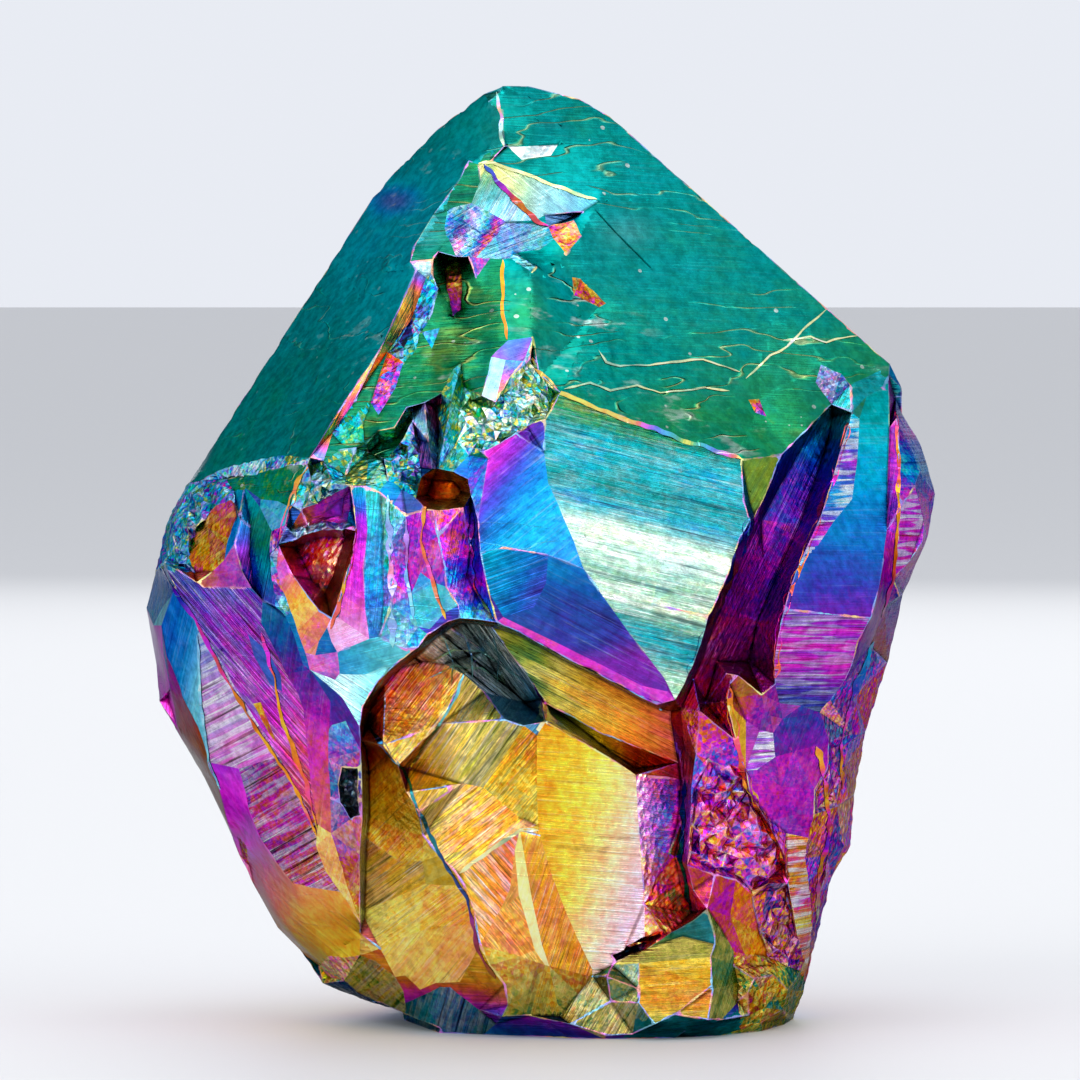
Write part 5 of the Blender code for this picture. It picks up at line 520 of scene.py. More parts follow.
# Bright edges and growth lines: points in mm, width in mm, film along the line, how whitish, how bright,
# how broken it is. Their whiteness and brightness are painted highlight on the ridges that catch the light,
# and painted shade in the dark lines and cracks.
threads = [
    ("apex ridge", [(49.6, 94.4), (49.9, 93), (50.1, 91.6), (50, 90.2), (50.4, 88.8)],
     0.35, [0.98, 0.1, 0.7, 0.97], 0.6, 1.3, 0.5),
    ("middle ridge", [(50.2, 77.4), (50.3, 74.6), (50.3, 72), (50.8, 69.5)],
     0.32, [0.12, 0.09, 0.14], 0.1, 0.9, 0.2),
    ("lower edge of the tip", [(53.4, 66.6), (56, 64.3), (59, 63), (62, 61.8), (65.5, 60.5), (69, 59.2),
     (72, 58.3), (74.1, 57.6)], 0.42, [0.1, 0.05, 0.12, 0.98, 0.06], 0.3, 1.4, 0.2),
    ("right edge of the tip", [(58.2, 93.9), (61.3, 92), (65, 88.6), (70, 84.1), (75, 79.6), (80, 75.1),
     (85, 70.8), (89.4, 67)], 0.3, [0.9, 0.12, 0.18, 0.1, 0.95, 0.14, 0.2], 0.1, 0.9, 0.35),
    ("dark hairline", [(59.5, 82.5), (62, 79.8), (65.4, 76.4)], 0.1, [0.78], 0, 0.45, 0.3),
    ("growth line 1", [(59.8, 68.4), (60.6, 67.2), (62, 66.8), (65, 66.9), (68, 67.2), (70.4, 67.4),
     (72.6, 66.6), (74.1, 66.1)], 0.16, [0.9, 0.96], 0.65, 1.3, 0.5),
    ("growth line 2", [(56.4, 64.6), (59, 65.2), (61, 64.4), (63.7, 64.9), (66, 64.1), (68.2, 64.3),
     (70.6, 64.6), (73, 64.2)], 0.16, [0.88, 0.97], 0.6, 1.3, 0.5),
    ("growth line 3", [(74.7, 65.4), (76, 66.6), (77.2, 67.7), (79, 68.6), (80.5, 70.2), (83.1, 72.3)],
     0.2, [0.94, 0.98], 0.6, 1.4, 0.4),
    ("growth line 4", [(78.6, 69.2), (81.4, 69.6), (83, 69), (84.2, 69.3), (86.2, 69.6)],
     0.18, [0.92, 0.98], 0.6, 1.3, 0.4),
    ("fan spine", [(48.3, 86.9), (50.5, 84.4), (52, 82.9), (53.6, 81.4), (54.8, 80.7)],
     0.55, [0.5, 0.34, 0.14, 0.36], 0.15, 0.9, 0.4),
    ("fan edge", [(47.8, 87), (49.1, 87.2), (52, 86.2), (55, 85.1), (59.7, 83.4)],
     0.3, [0.98, 0.95], 0.5, 1.4, 0.3),
    ("blade ridge", [(15.8, 46.6), (19.6, 41.4), (22.1, 36.6), (26.3, 29.8), (29.6, 25), (31.8, 20)],
     0.28, [0.5, 0.3, 0.12, 0.1], 0.1, 1, 0.6),
    ("ridge in the purple face", [(26.3, 40.4), (27.6, 36), (28.2, 32), (30.7, 25.6), (31.8, 20.6)],
     0.32, [0.33, 0.12, 0.2, 0.1], 0.1, 1.1, 0.6),
    ("bright edge of the blade", [(19.8, 40), (19.9, 34), (20.6, 27), (21.8, 24)],
     0.25, [0.64, 0.68], 0.5, 1.2, 0.4),
    ("right rim of pit 2", [(35.9, 51), (35.1, 47.1), (34.3, 43.8), (33.4, 41)],
     0.4, [0.16, 0.1, 0.22], 0.15, 1.2, 0.5),
    ("line between the columns", [(42.8, 53.8), (42.3, 49.9), (43.9, 44.4), (44.8, 42.2)],
     0.28, [0.12, 0.22, 0.1], 0.2, 1.2, 0.7),
    ("broken line 1", [(39, 54.3), (39.4, 46.6), (39.5, 39.3)], 0.45, [0.66, 0.3, 0.68], 0.5, 1.3, 1),
    ("broken line 2", [(40.9, 52), (40.9, 46), (41.6, 42)], 0.3, [0.3, 0.66], 0.4, 1.2, 1),
    ("broken line 3", [(47.3, 53), (47.2, 48.9), (47.6, 45.4), (49.4, 42.2)],
     0.35, [0.64, 0.3, 0.12], 0.3, 1.2, 0.9),
    ("edge of the arch", [(36.6, 33.4), (39, 36.9), (42.8, 39.8), (46.1, 42), (49.5, 41.6), (52, 40.6)],
     0.3, [0.95, 0.66, 0.98], 0.4, 1.1, 0.7),
    ("edge beside the hollow", [(74.8, 51.8), (73.3, 46.6), (70.1, 40.4), (67.8, 34.2)],
     0.5, [0.66, 0.1, 0.3, 0.97], 0.3, 1.1, 1),
    ("fringe ridge", [(85.1, 61), (83.4, 55.6), (80.8, 49.4), (79, 45.4), (77.6, 41), (77.4, 36)],
     0.5, [0.2, 0.3, 0.14, 0.3, 0.2], 0.1, 1.2, 0.35),
    ("orange spine", [(72.6, 35.1), (73.5, 30), (74.5, 25.4), (76.4, 21.6), (78.2, 18.6), (78.7, 15)],
     0.55, [0.12, 0.16, 0.1, 0.22], 0.1, 0.95, 0.5),
    ("teal line in the crack", [(68.4, 25.7), (68.2, 21.9), (67.9, 18.1), (68.6, 14.7), (69.2, 12)],
     0.35, [0.64, 0.7, 0.6], 0.2, 0.6, 0.7),
    ("edge of the grey strip", [(90, 62), (90.1, 56.6), (89.9, 50.3), (89.4, 45.2), (88.4, 41.4)],
     0.3, [0.2, 0.12, 0.3], 0.1, 1, 0.5),
    ("lip", [(49.8, 41.7), (52.4, 40.6), (56.4, 38.3), (60.6, 36.2), (64.2, 34.3), (67, 33.4)],
     0.25, [0.66, 0.6, 0.7, 0.3], 0.45, 1.2, 0.3),
    ("top edge of the yellow face", [(54.4, 31.9), (58, 30), (61.5, 27.9), (63.6, 26.4), (67.6, 25.8)],
     0.25, [0.02], 0.7, 1.3, 0.3),
    ("flank edge 1", [(81.6, 28.8), (82.6, 25), (83.2, 20), (82.1, 14.9), (82, 10)],
     0.45, [0.12, 0.3, 0.08], 0.15, 1.1, 0.9),
    ("flank edge 2", [(87.6, 39), (85.7, 34), (84.2, 28.8), (84.6, 24)],
     0.45, [0.64, 0.3, 0.14], 0.2, 1.1, 0.9),
    ("crack in the gold", [(36.8, 31.2), (38.6, 29.4), (40.6, 27), (42, 23), (43.3, 20), (45, 16.8),
     (46.8, 14), (47.4, 11), (47.8, 8.8), (49.6, 6)], 0.32, [0.6, 0.68, 0.1], 0.25, 0.4, 0.7),
    ("arch line 1", [(43.2, 37.6), (45.4, 38.8), (48, 38.6), (50.6, 36.9), (52.6, 35.4)],
     0.14, [0.97, 0.7], 0.6, 1.2, 0.6),
    ("arch line 2", [(43, 36), (45.5, 37.2), (48.2, 36.9), (50.6, 35.2)], 0.12, [0.7, 0.97], 0.6, 1.1, 0.6),
    ("arch line 3", [(46.4, 40.8), (47.2, 38.2), (47.3, 36)], 0.12, [0.7], 0.6, 1.1, 0.6),
    ("arch line 4", [(49.3, 40.4), (49.9, 38), (49.7, 35.4)], 0.12, [0.7], 0.6, 1.1, 0.6),
    ("arch line 5", [(44.6, 39.9), (45.4, 37.4), (45.2, 35.3)], 0.12, [0.7], 0.6, 1.1, 0.6),
    ("light line in the gold", [(46, 16.6), (48, 18.2), (50, 19.6), (52, 21), (53.9, 20.9)],
     0.3, [0.03], 0.6, 1.3, 0.5),
    ("edge of the olive slope", [(41, 27), (42.4, 29.2), (44.2, 31.7), (45.6, 34.2), (46.5, 36.4)],
     0.22, [0.98, 0.66], 0.4, 1.1, 0.5),
    ("gold shoulder edge", [(31, 57), (30, 55.3), (29.3, 53.1), (28.6, 51.2), (28.2, 49.6)],
     0.4, [0.16, 0.1, 0.3], 0.2, 1.2, 0.7),
]

# Soft patches where the film differs: x, z and half sizes in mm, film, how whitish, how much.
blooms = [
    (39.2, 83.3, 2.8, 1.5, 0.44, 0.55, 0.75),
    (42.6, 80.4, 3.4, 3.2, 0.7, 0.3, 0.5),
    (62.8, 80.2, 2.6, 1.6, 0.72, 0.35, 0.5),
    (44.6, 68.4, 3.6, 4.4, 0.9, 0.05, 0.7),
    (52.4, 72.4, 2.2, 3.6, 0.86, 0.05, 0.8),
    (67, 61.6, 6, 2, 0.87, 0.05, 0.7),
    (79.4, 60.6, 3, 2.6, 0.87, 0.05, 0.8),
    (36, 60.5, 2, 3, 0.9, 0.05, 0.6),
]

# how clearly the winding edges of growth layers show on a facet
terraced = {
    "left tip face": 0.5, "centre tip face": 0.8, "right tip face": 0.9,
    "shoulder": 0.8, "green front face": 0.25, "blue face, top": 0.3,
}

crystalSkin = {
    "frontPitch": 0.68,        # longest edge of the front's mesh, mm
    "backPitch": 1.5,          # and of the rest; the sawn base has twice this
    "sameFacet": 14.0,         # faces that bend less than this are one facet, degrees
    "mostVotes": 0.72,         # over this share, a face of the solid goes whole to one outline
    "ridgeFrom": 16.0,         # an edge that bends more than this is a ridge, degrees
    "ridgeFull": 38.0,         # and at this it shows fully
    "ridgeReach": 2.0,         # how far from a ridge its distance is kept, mm
    "sharpAngle": 24.0,        # shading stays sharp over this, degrees
    "flatFrom": 0.6,           # ground more broken than this is shaded flat
    "brokenFrom": 0.66,        # and more broken than this keeps every fold
    "gritRelief": 0.2,         # of broken ground, mm
    "gritLumps": 1.3,          # lumps to a mm
    "nickDepth": 0.14,         # of the nicks along the ridges, mm
    "nickLumps": 0.55,
    "nickReach": 0.05,         # how near the ridge a nick is cut, mm
    "stillUpTo": 0.8,          # no relief below this height, mm
    "easeFrom": 0.6,           # and no easing below this one
    "easeStep": 0.6,
    "easeAll": 25,             # rounds of easing over the slight folds
    "easeTip": 160,            # and more of it on the big tip faces
    "easeTipUpTo": 34.0,       # which have no real ridge under this bend, degrees
    "easeFoldsUpTo": 34.0,     # folds inside one facet that aren't ridges, degrees
    "easeTipFoldsUpTo": 80.0,
    "threadStep": 0.25,        # along a thread, mm
    "threadLift": 0.04,        # off the stone, mm
    "threadForward": 0.03,
    "threadGap": 1.2,          # a longer jump breaks the thread, mm
    "threadFrom": -80.0,       # y from which it is cast on to the stone, mm
    "facetLuck": (0.16, 0.3, 0.4),         # on broken ground: film, whitish, bright
    "crumbShare": 0.8,
    "backFilm": [(0, 0.62), (6, 0.08), (18, 0.14), (30, 0.3), (42, 0.42), (56, 0.6), (66, 0.76), (95, 0.8)],
    "backFilmLuck": 0.12,
    "backSwirl": 0.07,
    "backPale": (0.08, 0.18),              # least, and how much chance adds
    "backShade": (0.75, 0.25),
    "backGrit": 0.15,
    "backLay": 0.6,
    "backTerrace": 0.15,
    "frontTerrace": 0.1,
    "seed": 11,
}


def insideOutline(xs, zs, outline):
    hit = np.zeros(len(xs), bool)
    for (x0, z0), (x1, z1) in zip(outline, outline[1:] + outline[:1]):
        if z0 == z1:
            continue
        spans = (z0 > zs) != (z1 > zs)
        hit ^= spans & (xs < (x1 - x0) * (zs - z0) / (z1 - z0) + x0)
    return hit


def alongWay(xs, zs, way):
    if way is None:
        return np.full(len(xs), 0.5)
    (x0, z0), (x1, z1) = way
    return ((xs - x0) * (x1 - x0) + (zs - z0) * (z1 - z0)) / ((x1 - x0) ** 2 + (z1 - z0) ** 2)


def readList(values, share):
    if len(values) == 1:
        return np.full(len(share), values[0])
    return np.interp(share, np.linspace(0, 1, len(values)), values)


def middles(faces):
    # where the faces are, in the mm of the tables
    spots = [face.calc_center_median() for face in faces]
    return np.array([s.x / mm + tableX for s in spots]), np.array([s.z / mm for s in spots])


def growFacets(mesh, bend):
    # numbers the natural facets: faces joined over edges that hardly bend
    limit = math.radians(bend)
    facet = [-1] * len(mesh.faces)
    count = 0
    for start in mesh.faces:
        if facet[start.index] >= 0:
            continue
        facet[start.index] = count
        stack = [start]
        while stack:
            for edge in stack.pop().edges:
                if len(edge.link_faces) == 2 and edge.calc_face_angle(9.0) < limit:
                    for face in edge.link_faces:
                        if facet[face.index] < 0:
                            facet[face.index] = count
                            stack.append(face)
        count += 1
    return facet


def threadPath(points, step):
    path = []
    for (x0, z0), (x1, z1) in zip(points, points[1:]):
        steps = max(1, int(math.hypot(x1 - x0, z1 - z0) / step))
        path += [(x0 + (x1 - x0) * i / steps, z0 + (z1 - z0) * i / steps) for i in range(steps)]
    return path + [points[-1]]


def layThreads(mesh, side, values, settings):
    # a thread is a thin ribbon that lies on the stone
    tree = BVHTree.FromBMesh(mesh)
    straight = Vector((0, 1, 0))
    lift, forward, mostGap, castFrom = [
        settings[name] * mm for name in ("threadLift", "threadForward", "threadGap", "threadFrom")]
    for k, (name, points, width, films, pale, shade, broken) in enumerate(threads):
        path = threadPath(points, settings["threadStep"])
        before = None
        for i, (x, z) in enumerate(path):
            nextX, nextZ = path[min(i + 1, len(path) - 1)]
            lastX, lastZ = path[max(i - 1, 0)]
            run = math.hypot(nextX - lastX, nextZ - lastZ) or 1.0
            acrossX, acrossZ = -(nextZ - lastZ) / run, (nextX - lastX) / run
            taper = min(1.0, (i + 0.4) / 3, (len(path) - i - 0.6) / 3)
            sway = noise.noise(Vector((i * 0.23, k * 7.1, 0.5)))
            wear = noise.noise(Vector((i * 0.19, k * 3.7, 8)))
            drift = noise.noise(Vector((i * 0.11, k * 5.3, 2)))
            half = width / 2 * taper * max(0.2, 1 + broken * 1.9 * wear)
            ends = []
            for hand in (-1, 1):
                offset = sway * width * 0.5 + hand * half
                spot = Vector(((x + acrossX * offset - tableX) * mm, castFrom, (z + acrossZ * offset) * mm))
                hit, normal, _, _ = tree.ray_cast(spot, straight)
                if hit:
                    ends.append(mesh.verts.new(hit + normal * lift - straight * forward))
            if len(ends) < 2 or (before and (ends[0].co - before[0].co).length > mostGap):
                before = ends if len(ends) == 2 else None
                continue
            if before:
                face = mesh.faces.new((before[0], before[1], ends[1], ends[0]))
                face[side] = 3
                tint = float(readList(films, np.array([i / len(path)]))[0]) + drift * broken * 0.3
                for layer, value in zip(values, (tint, pale, shade * (1 + drift * 0.4))):
                    face[layer] = value
            before = ends


def ridgeGaps(mesh, bend, hand, settings):
    # for each corner of the mesh, how sharp the nearest crest (or crease) is and how far off, mm
    low, high = math.radians(settings["ridgeFrom"]), math.radians(settings["ridgeFull"])
    found = []
    for edge in mesh.edges:
        amount = min(1.0, (edge[bend] * hand - low) / (high - low))
        if amount > 0:
            first, last = edge.verts[0].co, edge.verts[1].co
            found += [(first.lerp(last, share), amount) for share in (0, 0.2, 0.4, 0.6, 0.8, 1)]
    near = KDTree(len(found))
    for k, (spot, amount) in enumerate(found):
        near.insert(spot, k)
    near.balance()
    amounts = np.zeros(len(mesh.verts))
    gaps = np.full(len(mesh.verts), 9.0)
    for v in mesh.verts:
        _, k, gap = near.find(v.co)
        if gap < settings["ridgeReach"] * mm:
            amounts[v.index] = found[k][1]
            gaps[v.index] = gap / mm
    return amounts, gaps


def onTipFace(row):
    return row >= 0 and frontFacets[row][0].endswith("tip face")


def relaxFolds(mesh, bend, row, settings):
    # eases the slight folds between the solid's triangles and leaves every real ridge
    mesh.verts.index_update()
    mesh.normal_update()
    spots = np.array([v.co[:] for v in mesh.verts])
    normals = np.array([v.normal[:] for v in mesh.verts])
    ends = np.array([(e.verts[0].index, e.verts[1].index) for e in mesh.edges])
    bends = np.array([abs(e[bend]) for e in mesh.edges])
    aboveFoot = spots[:, 2] > settings["easeFrom"] * mm
    offRidges, offTipRidges = np.ones(len(spots), bool), np.ones(len(spots), bool)
    tip, edgeOfTip = np.zeros(len(spots), bool), np.zeros(len(spots), bool)
    offRidges[ends[bends > math.radians(settings["ridgeFrom"])].ravel()] = False
    offTipRidges[ends[bends > math.radians(settings["easeTipUpTo"])].ravel()] = False
    for face in mesh.faces:
        (tip if onTipFace(face[row]) else edgeOfTip)[[v.index for v in face.verts]] = True
    everywhere = offRidges & aboveFoot
    tipOnly = offTipRidges & tip & ~edgeOfTip & aboveFoot
    for rounds, allowed in ((settings["easeAll"], everywhere), (settings["easeTip"], tipOnly)):
        used = ends[allowed[ends].any(axis=1)]
        count = np.bincount(used.ravel(), minlength=len(spots))
        movable = allowed & (count > 0)
        for step in range(rounds):
            total = np.empty_like(spots)
            for axis in range(3):
                total[:, axis] = np.bincount(used[:, 0], spots[used[:, 1], axis], len(spots))
                total[:, axis] += np.bincount(used[:, 1], spots[used[:, 0], axis], len(spots))
            pull = total[movable] / count[movable, None] - spots[movable]
            lift = (pull * normals[movable]).sum(axis=1, keepdims=True)
            spots[movable] += normals[movable] * lift * settings["easeStep"]
    for v, spot in zip(mesh.verts, spots):
        v.co = spot


def splitByOutline(mesh, row, shard, side, settings):
    # a face of the solid that no outline fills is shared out among the small faces on it
    fine = [f for f in mesh.faces if f[side] == 0]
    xs, zs = middles(fine)
    own = np.full(len(fine), -1)
    for k, facet in enumerate(frontFacets):
        own[insideOutline(xs, zs, facet[1])] = k
    votes = {}
    for face, k in zip(fine, own):
        votes.setdefault(face[shard], []).append(int(k))
    for face, k in zip(fine, own):
        cast = votes[face[shard]]
        most = max(set(cast), key=cast.count)
        whole = cast.count(most) > settings["mostVotes"] * len(cast) or k < 0
        face[row] = most if whole else int(k)


def nameFaces(mesh, row, shard, part, side, settings):
    natural = growFacets(mesh, settings["sameFacet"])
    xs, zs = middles(mesh.faces)
    front = np.array([f.normal.y < 0 for f in mesh.faces])
    base = np.array([f.normal.z < -0.98 and f.calc_center_median().z < 0.0002 for f in mesh.faces])
    found = np.full(len(xs), -1)
    for k, facet in enumerate(frontFacets):
        found[insideOutline(xs, zs, facet[1]) & front & ~base] = k
    for face in mesh.faces:
        k = face.index
        face[shard] = k
        face[row] = int(found[k])
        face[part] = natural[k]
        face[side] = 2 if base[k] else 0 if front[k] else 1
    print("facets named:", len(set(found)) - 1, "of", len(frontFacets))
    print("natural facets:", len(set(natural)))


def refine(mesh, side, settings):
    pitch = [settings["frontPitch"] * mm, settings["backPitch"] * mm, settings["backPitch"] * 2 * mm]
    for step in range(9):
        longEdges = [e for e in mesh.edges if e.calc_length() > min(pitch[f[side]] for f in e.link_faces)]
        if not longEdges:
            break
        bmesh.ops.subdivide_edges(mesh, edges=longEdges, cuts=1, use_grid_fill=False)
        bmesh.ops.triangulate(mesh, faces=[f for f in mesh.faces if len(f.verts) > 3])
    print("skin mesh:", len(mesh.faces), "triangles")


def forgetSlightFolds(mesh, bend, row, settings):
    # a slight fold inside one facet is only how the solid is divided
    for edge in mesh.edges:
        rows = [f[row] for f in edge.link_faces]
        oneFacet = len(rows) == 2 and rows[0] == rows[1] >= 0
        if oneFacet and frontFacets[rows[0]][7] < settings["brokenFrom"]:
            mostFold = settings["easeTipFoldsUpTo" if onTipFace(rows[0]) else "easeFoldsUpTo"]
            if abs(edge[bend]) < math.radians(mostFold):
                edge[bend] = 0.0


def roughen(mesh, row, crest, crestGap, settings):
    # broken ground and nicked ridges are real relief
    mesh.normal_update()
    gritAt = np.zeros(len(mesh.verts))
    for face in mesh.faces:
        if face[row] >= 0:
            for v in face.verts:
                gritAt[v.index] = max(gritAt[v.index], frontFacets[face[row]][7])
    for v in mesh.verts:
        if v.co.z < settings["stillUpTo"] * mm:
            continue
        k = v.index
        spot = v.co / mm
        lift = noise.noise(spot * settings["gritLumps"]) * settings["gritRelief"] * gritAt[k]
        if crestGap[k] < settings["nickReach"]:
            nick = noise.noise(spot * settings["nickLumps"] + Vector((9, 3, 5))) - 0.05
            lift -= max(0.0, nick) * 2.2 * settings["nickDepth"] * crest[k]
        v.co += v.normal * lift * mm


def buildSkin(settings):
    mesh = bmesh.new()
    mesh.from_mesh(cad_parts["crystal"].data)
    bmesh.ops.remove_doubles(mesh, verts=mesh.verts, dist=1e-6)
    mesh.faces.ensure_lookup_table()
    mesh.faces.index_update()

    # row is the line of frontFacets, shard the solid's face, part the natural facet,
    # side 0 for the front, 1 for the rest, 2 for the sawn base and 3 for a thread
    shard, row, part, side = [mesh.faces.layers.int.new(name) for name in ("shard", "row", "part", "side")]
    bend = mesh.edges.layers.float.new("bend")
    nameFaces(mesh, row, shard, part, side, settings)
    for edge in mesh.edges:
        edge[bend] = edge.calc_face_angle_signed(0.0)
    refine(mesh, side, settings)
    splitByOutline(mesh, row, shard, side, settings)
    forgetSlightFolds(mesh, bend, row, settings)
    relaxFolds(mesh, bend, row, settings)

    mesh.verts.index_update()
    crest, crestGap = ridgeGaps(mesh, bend, 1, settings)
    crease, creaseGap = ridgeGaps(mesh, bend, -1, settings)
    roughen(mesh, row, crest, crestGap, settings)
    for edge in mesh.edges:
        if abs(edge[bend]) > math.radians(settings["sharpAngle"]):
            edge.smooth = False
    ribbon = [mesh.faces.layers.float.new(name) for name in ("ribbonFilm", "ribbonPale", "ribbonShade")]
    layThreads(mesh, side, ribbon, settings)
    bmesh.ops.triangulate(mesh, faces=[f for f in mesh.faces if len(f.verts) > 3])
    for face in mesh.faces:
        face.smooth = face[row] < 0 or frontFacets[face[row]][7] < settings["flatFrom"]
    print("threads laid:", len(threads))

    data = bpy.data.meshes.new("crystalSkin")
    mesh.to_mesh(data)
    mesh.free()
    skin = bpy.data.objects.new("crystalSkin", data)
    bpy.context.scene.collection.objects.link(skin)
    ridges = {"crest": crest, "crestGap": crestGap, "crease": crease, "creaseGap": creaseGap}
    coatSkin(skin, ridges, settings)
    return skin


def coatSkin(skin, ridges, settings):
    # the coating's values at every corner of every face
    data = skin.data
    loops = len(data.loops)
    vertOf = np.empty(loops, np.int32)
    data.loops.foreach_get("vertex_index", vertOf)
    spots = np.empty(len(data.vertices) * 3)
    data.vertices.foreach_get("co", spots)
    spots = spots.reshape(-1, 3) / mm
    xs = spots[vertOf, 0] + tableX
    ys = spots[vertOf, 1]
    zs = spots[vertOf, 2]

    def faceValues(name, kind=np.int32):
        values = np.empty(len(data.polygons), kind)
        data.attributes[name].data.foreach_get("value", values)
        return np.repeat(values, 3)

    row, shard, part, side = [faceValues(name) for name in ("row", "shard", "part", "side")]
    chance = np.random.default_rng(settings["seed"])
    shardLuck = chance.uniform(-1, 1, (shard.max() + 1, 3))
    partLuck = chance.uniform(-1, 1, (part.max() + 1, 3))
    crumbLuck = chance.uniform(-1, 1, (len(data.polygons), 3))

    # away from the front: teal at the top, through blue and magenta, to gold at the foot
    heights, films = zip(*settings["backFilm"])
    swirl = np.sin(xs * 0.23 + 1.3 * np.sin(zs * 0.11) + ys * 0.16)
    film = np.interp(zs, heights, films) + partLuck[part, 0] * settings["backFilmLuck"]
    film = film + settings["backSwirl"] * swirl
    leastPale, luckyPale = settings["backPale"]
    pale = leastPale + np.maximum(0, partLuck[part, 1]) * luckyPale
    usualShade, luckyShade = settings["backShade"]
    shade = usualShade + partLuck[part, 2] * luckyShade
    grit = np.full(loops, settings["backGrit"])
    lay = np.full(loops, settings["backLay"])
    terrace = np.full(loops, settings["backTerrace"])
    across = zs.copy()
    along = np.where(np.abs(ys) > 18, xs, ys)

    for k, (name, outline, way, films, pales, shades, (angle, strength), broken) in enumerate(frontFacets):
        mine = np.flatnonzero(row == k)
        if not len(mine):
            print("no face for", name)
            continue
        share = alongWay(xs[mine], zs[mine], way)
        film[mine] = readList(films, share)
        pale[mine] = readList(pales, share)
        shade[mine] = readList(shades, share)
        grit[mine] = broken
        lay[mine] = strength
        turn = math.radians(angle)
        across[mine] = zs[mine] * math.cos(turn) - xs[mine] * math.sin(turn)
        along[mine] = xs[mine] * math.cos(turn) + zs[mine] * math.sin(turn)
        luck = (shardLuck[shard[mine]] + crumbLuck[mine // 3] * settings["crumbShare"]) * broken
        film[mine] += luck[:, 0] * settings["facetLuck"][0]
        pale[mine] += luck[:, 1] * settings["facetLuck"][1]
        shade[mine] *= 1 + luck[:, 2] * settings["facetLuck"][2]
        terrace[mine] = terraced.get(name, settings["frontTerrace"])
    for x, z, halfX, halfZ, bloomFilm, bloomPale, amount in blooms:
        near = np.exp(-((xs - x) / halfX) ** 2 - ((zs - z) / halfZ) ** 2) * amount * (side == 0)
        film += (bloomFilm - film) * near
        pale += (bloomPale - pale) * near
    thread = side == 3
    for name, numbers in (("ribbonFilm", film), ("ribbonPale", pale), ("ribbonShade", shade)):
        numbers[thread] = faceValues(name, np.float32)[thread]
    lay[thread] = 0
    grit[thread] = 0

    def keep(name, domain, numbers):
        layer = data.attributes.new(name, "FLOAT", domain)
        layer.data.foreach_set("value", numbers.astype(np.float32))

    keep("film", "CORNER", film)
    keep("pale", "CORNER", np.clip(pale, 0, 1))
    keep("shade", "CORNER", np.maximum(0.02, shade))
    keep("grit", "CORNER", grit)
    keep("terrace", "CORNER", terrace)
    layer = data.attributes.new("lay", "FLOAT_VECTOR", "CORNER")
    layer.data.foreach_set("vector", np.column_stack([across, along, lay]).astype(np.float32).ravel())
    for name, numbers in ridges.items():
        ribbonValue = 9.0 if name.endswith("Gap") else 0.0
        ribbonCorners = np.full(len(data.vertices) - len(numbers), ribbonValue)
        keep(name, "POINT", np.concatenate([numbers, ribbonCorners]))
    data.polygons.foreach_set("material_index", (side[::3] == 2).astype(np.int32))


# shader helpers
def addNode(tree, kind, settings=None, **sockets):
    # _0, _1 and so on name a socket by its number
    node = tree.nodes.new(kind)
    for key, value in (settings or {}).items():
        setattr(node, key, value)
    for key, value in sockets.items():
        byNumber = key[0] == "_" and key[1:].isdigit()
        socket = node.inputs[int(key[1:])] if byNumber else node.inputs[key.replace("_", " ")]
        if isinstance(value, bpy.types.NodeSocket):
            tree.links.new(value, socket)
        else:
            socket.default_value = value
    return node


def mathNode(tree, a, b, operation, clamp=False):
    node = addNode(tree, "ShaderNodeMath", {"operation": operation, "use_clamp": clamp}, _0=a, _1=b)
    return node.outputs[0]


def plus(tree, a, b, clamp=False):
    return mathNode(tree, a, b, "ADD", clamp)


def minus(tree, a, b, clamp=False):
    return mathNode(tree, a, b, "SUBTRACT", clamp)


def times(tree, a, b, clamp=False):
    return mathNode(tree, a, b, "MULTIPLY", clamp)


def centred(tree, value, amount):
    # a noise from 0 to 1 turned into a push either way
    return times(tree, minus(tree, value, 0.5), amount)


def between(tree, value, low, high, toLow=0.0, toHigh=1.0):
    node = addNode(tree, "ShaderNodeMapRange", {"interpolation_type": "SMOOTHSTEP"}, Value=value)
    for name, number in (("From Min", low), ("From Max", high), ("To Min", toLow), ("To Max", toHigh)):
        node.inputs[name].default_value = number
    return node.outputs[0]


def noiseAt(tree, place, scale, detail, roughness=0.5, distortion=0.0, sides="3D"):
    node = addNode(tree, "ShaderNodeTexNoise", {"noise_dimensions": sides}, Vector=place, Scale=scale,
                   Detail=detail, Roughness=roughness, Distortion=distortion)
    return node.outputs[0]


def cellsAt(tree, place, scale):
    # distance from the middle of each cell, and two chance numbers for it
    cells = addNode(tree, "ShaderNodeTexVoronoi", {"feature": "F1"}, Vector=place, Scale=scale)
    chance = addNode(tree, "ShaderNodeSeparateColor", Color=cells.outputs["Color"])
    return cells.outputs["Distance"], chance.outputs[0], chance.outputs[1]


def newGroup(name, inputs, outputs):
    tree = bpy.data.node_groups.new(name, "ShaderNodeTree")
    for label, kind in inputs.items():
        tree.interface.new_socket(name=label, in_out="INPUT", socket_type="NodeSocket" + kind)
    for label, kind in outputs.items():
        tree.interface.new_socket(name=label, in_out="OUTPUT", socket_type="NodeSocket" + kind)
    return tree, tree.nodes.new("NodeGroupInput").outputs, tree.nodes.new("NodeGroupOutput").inputs


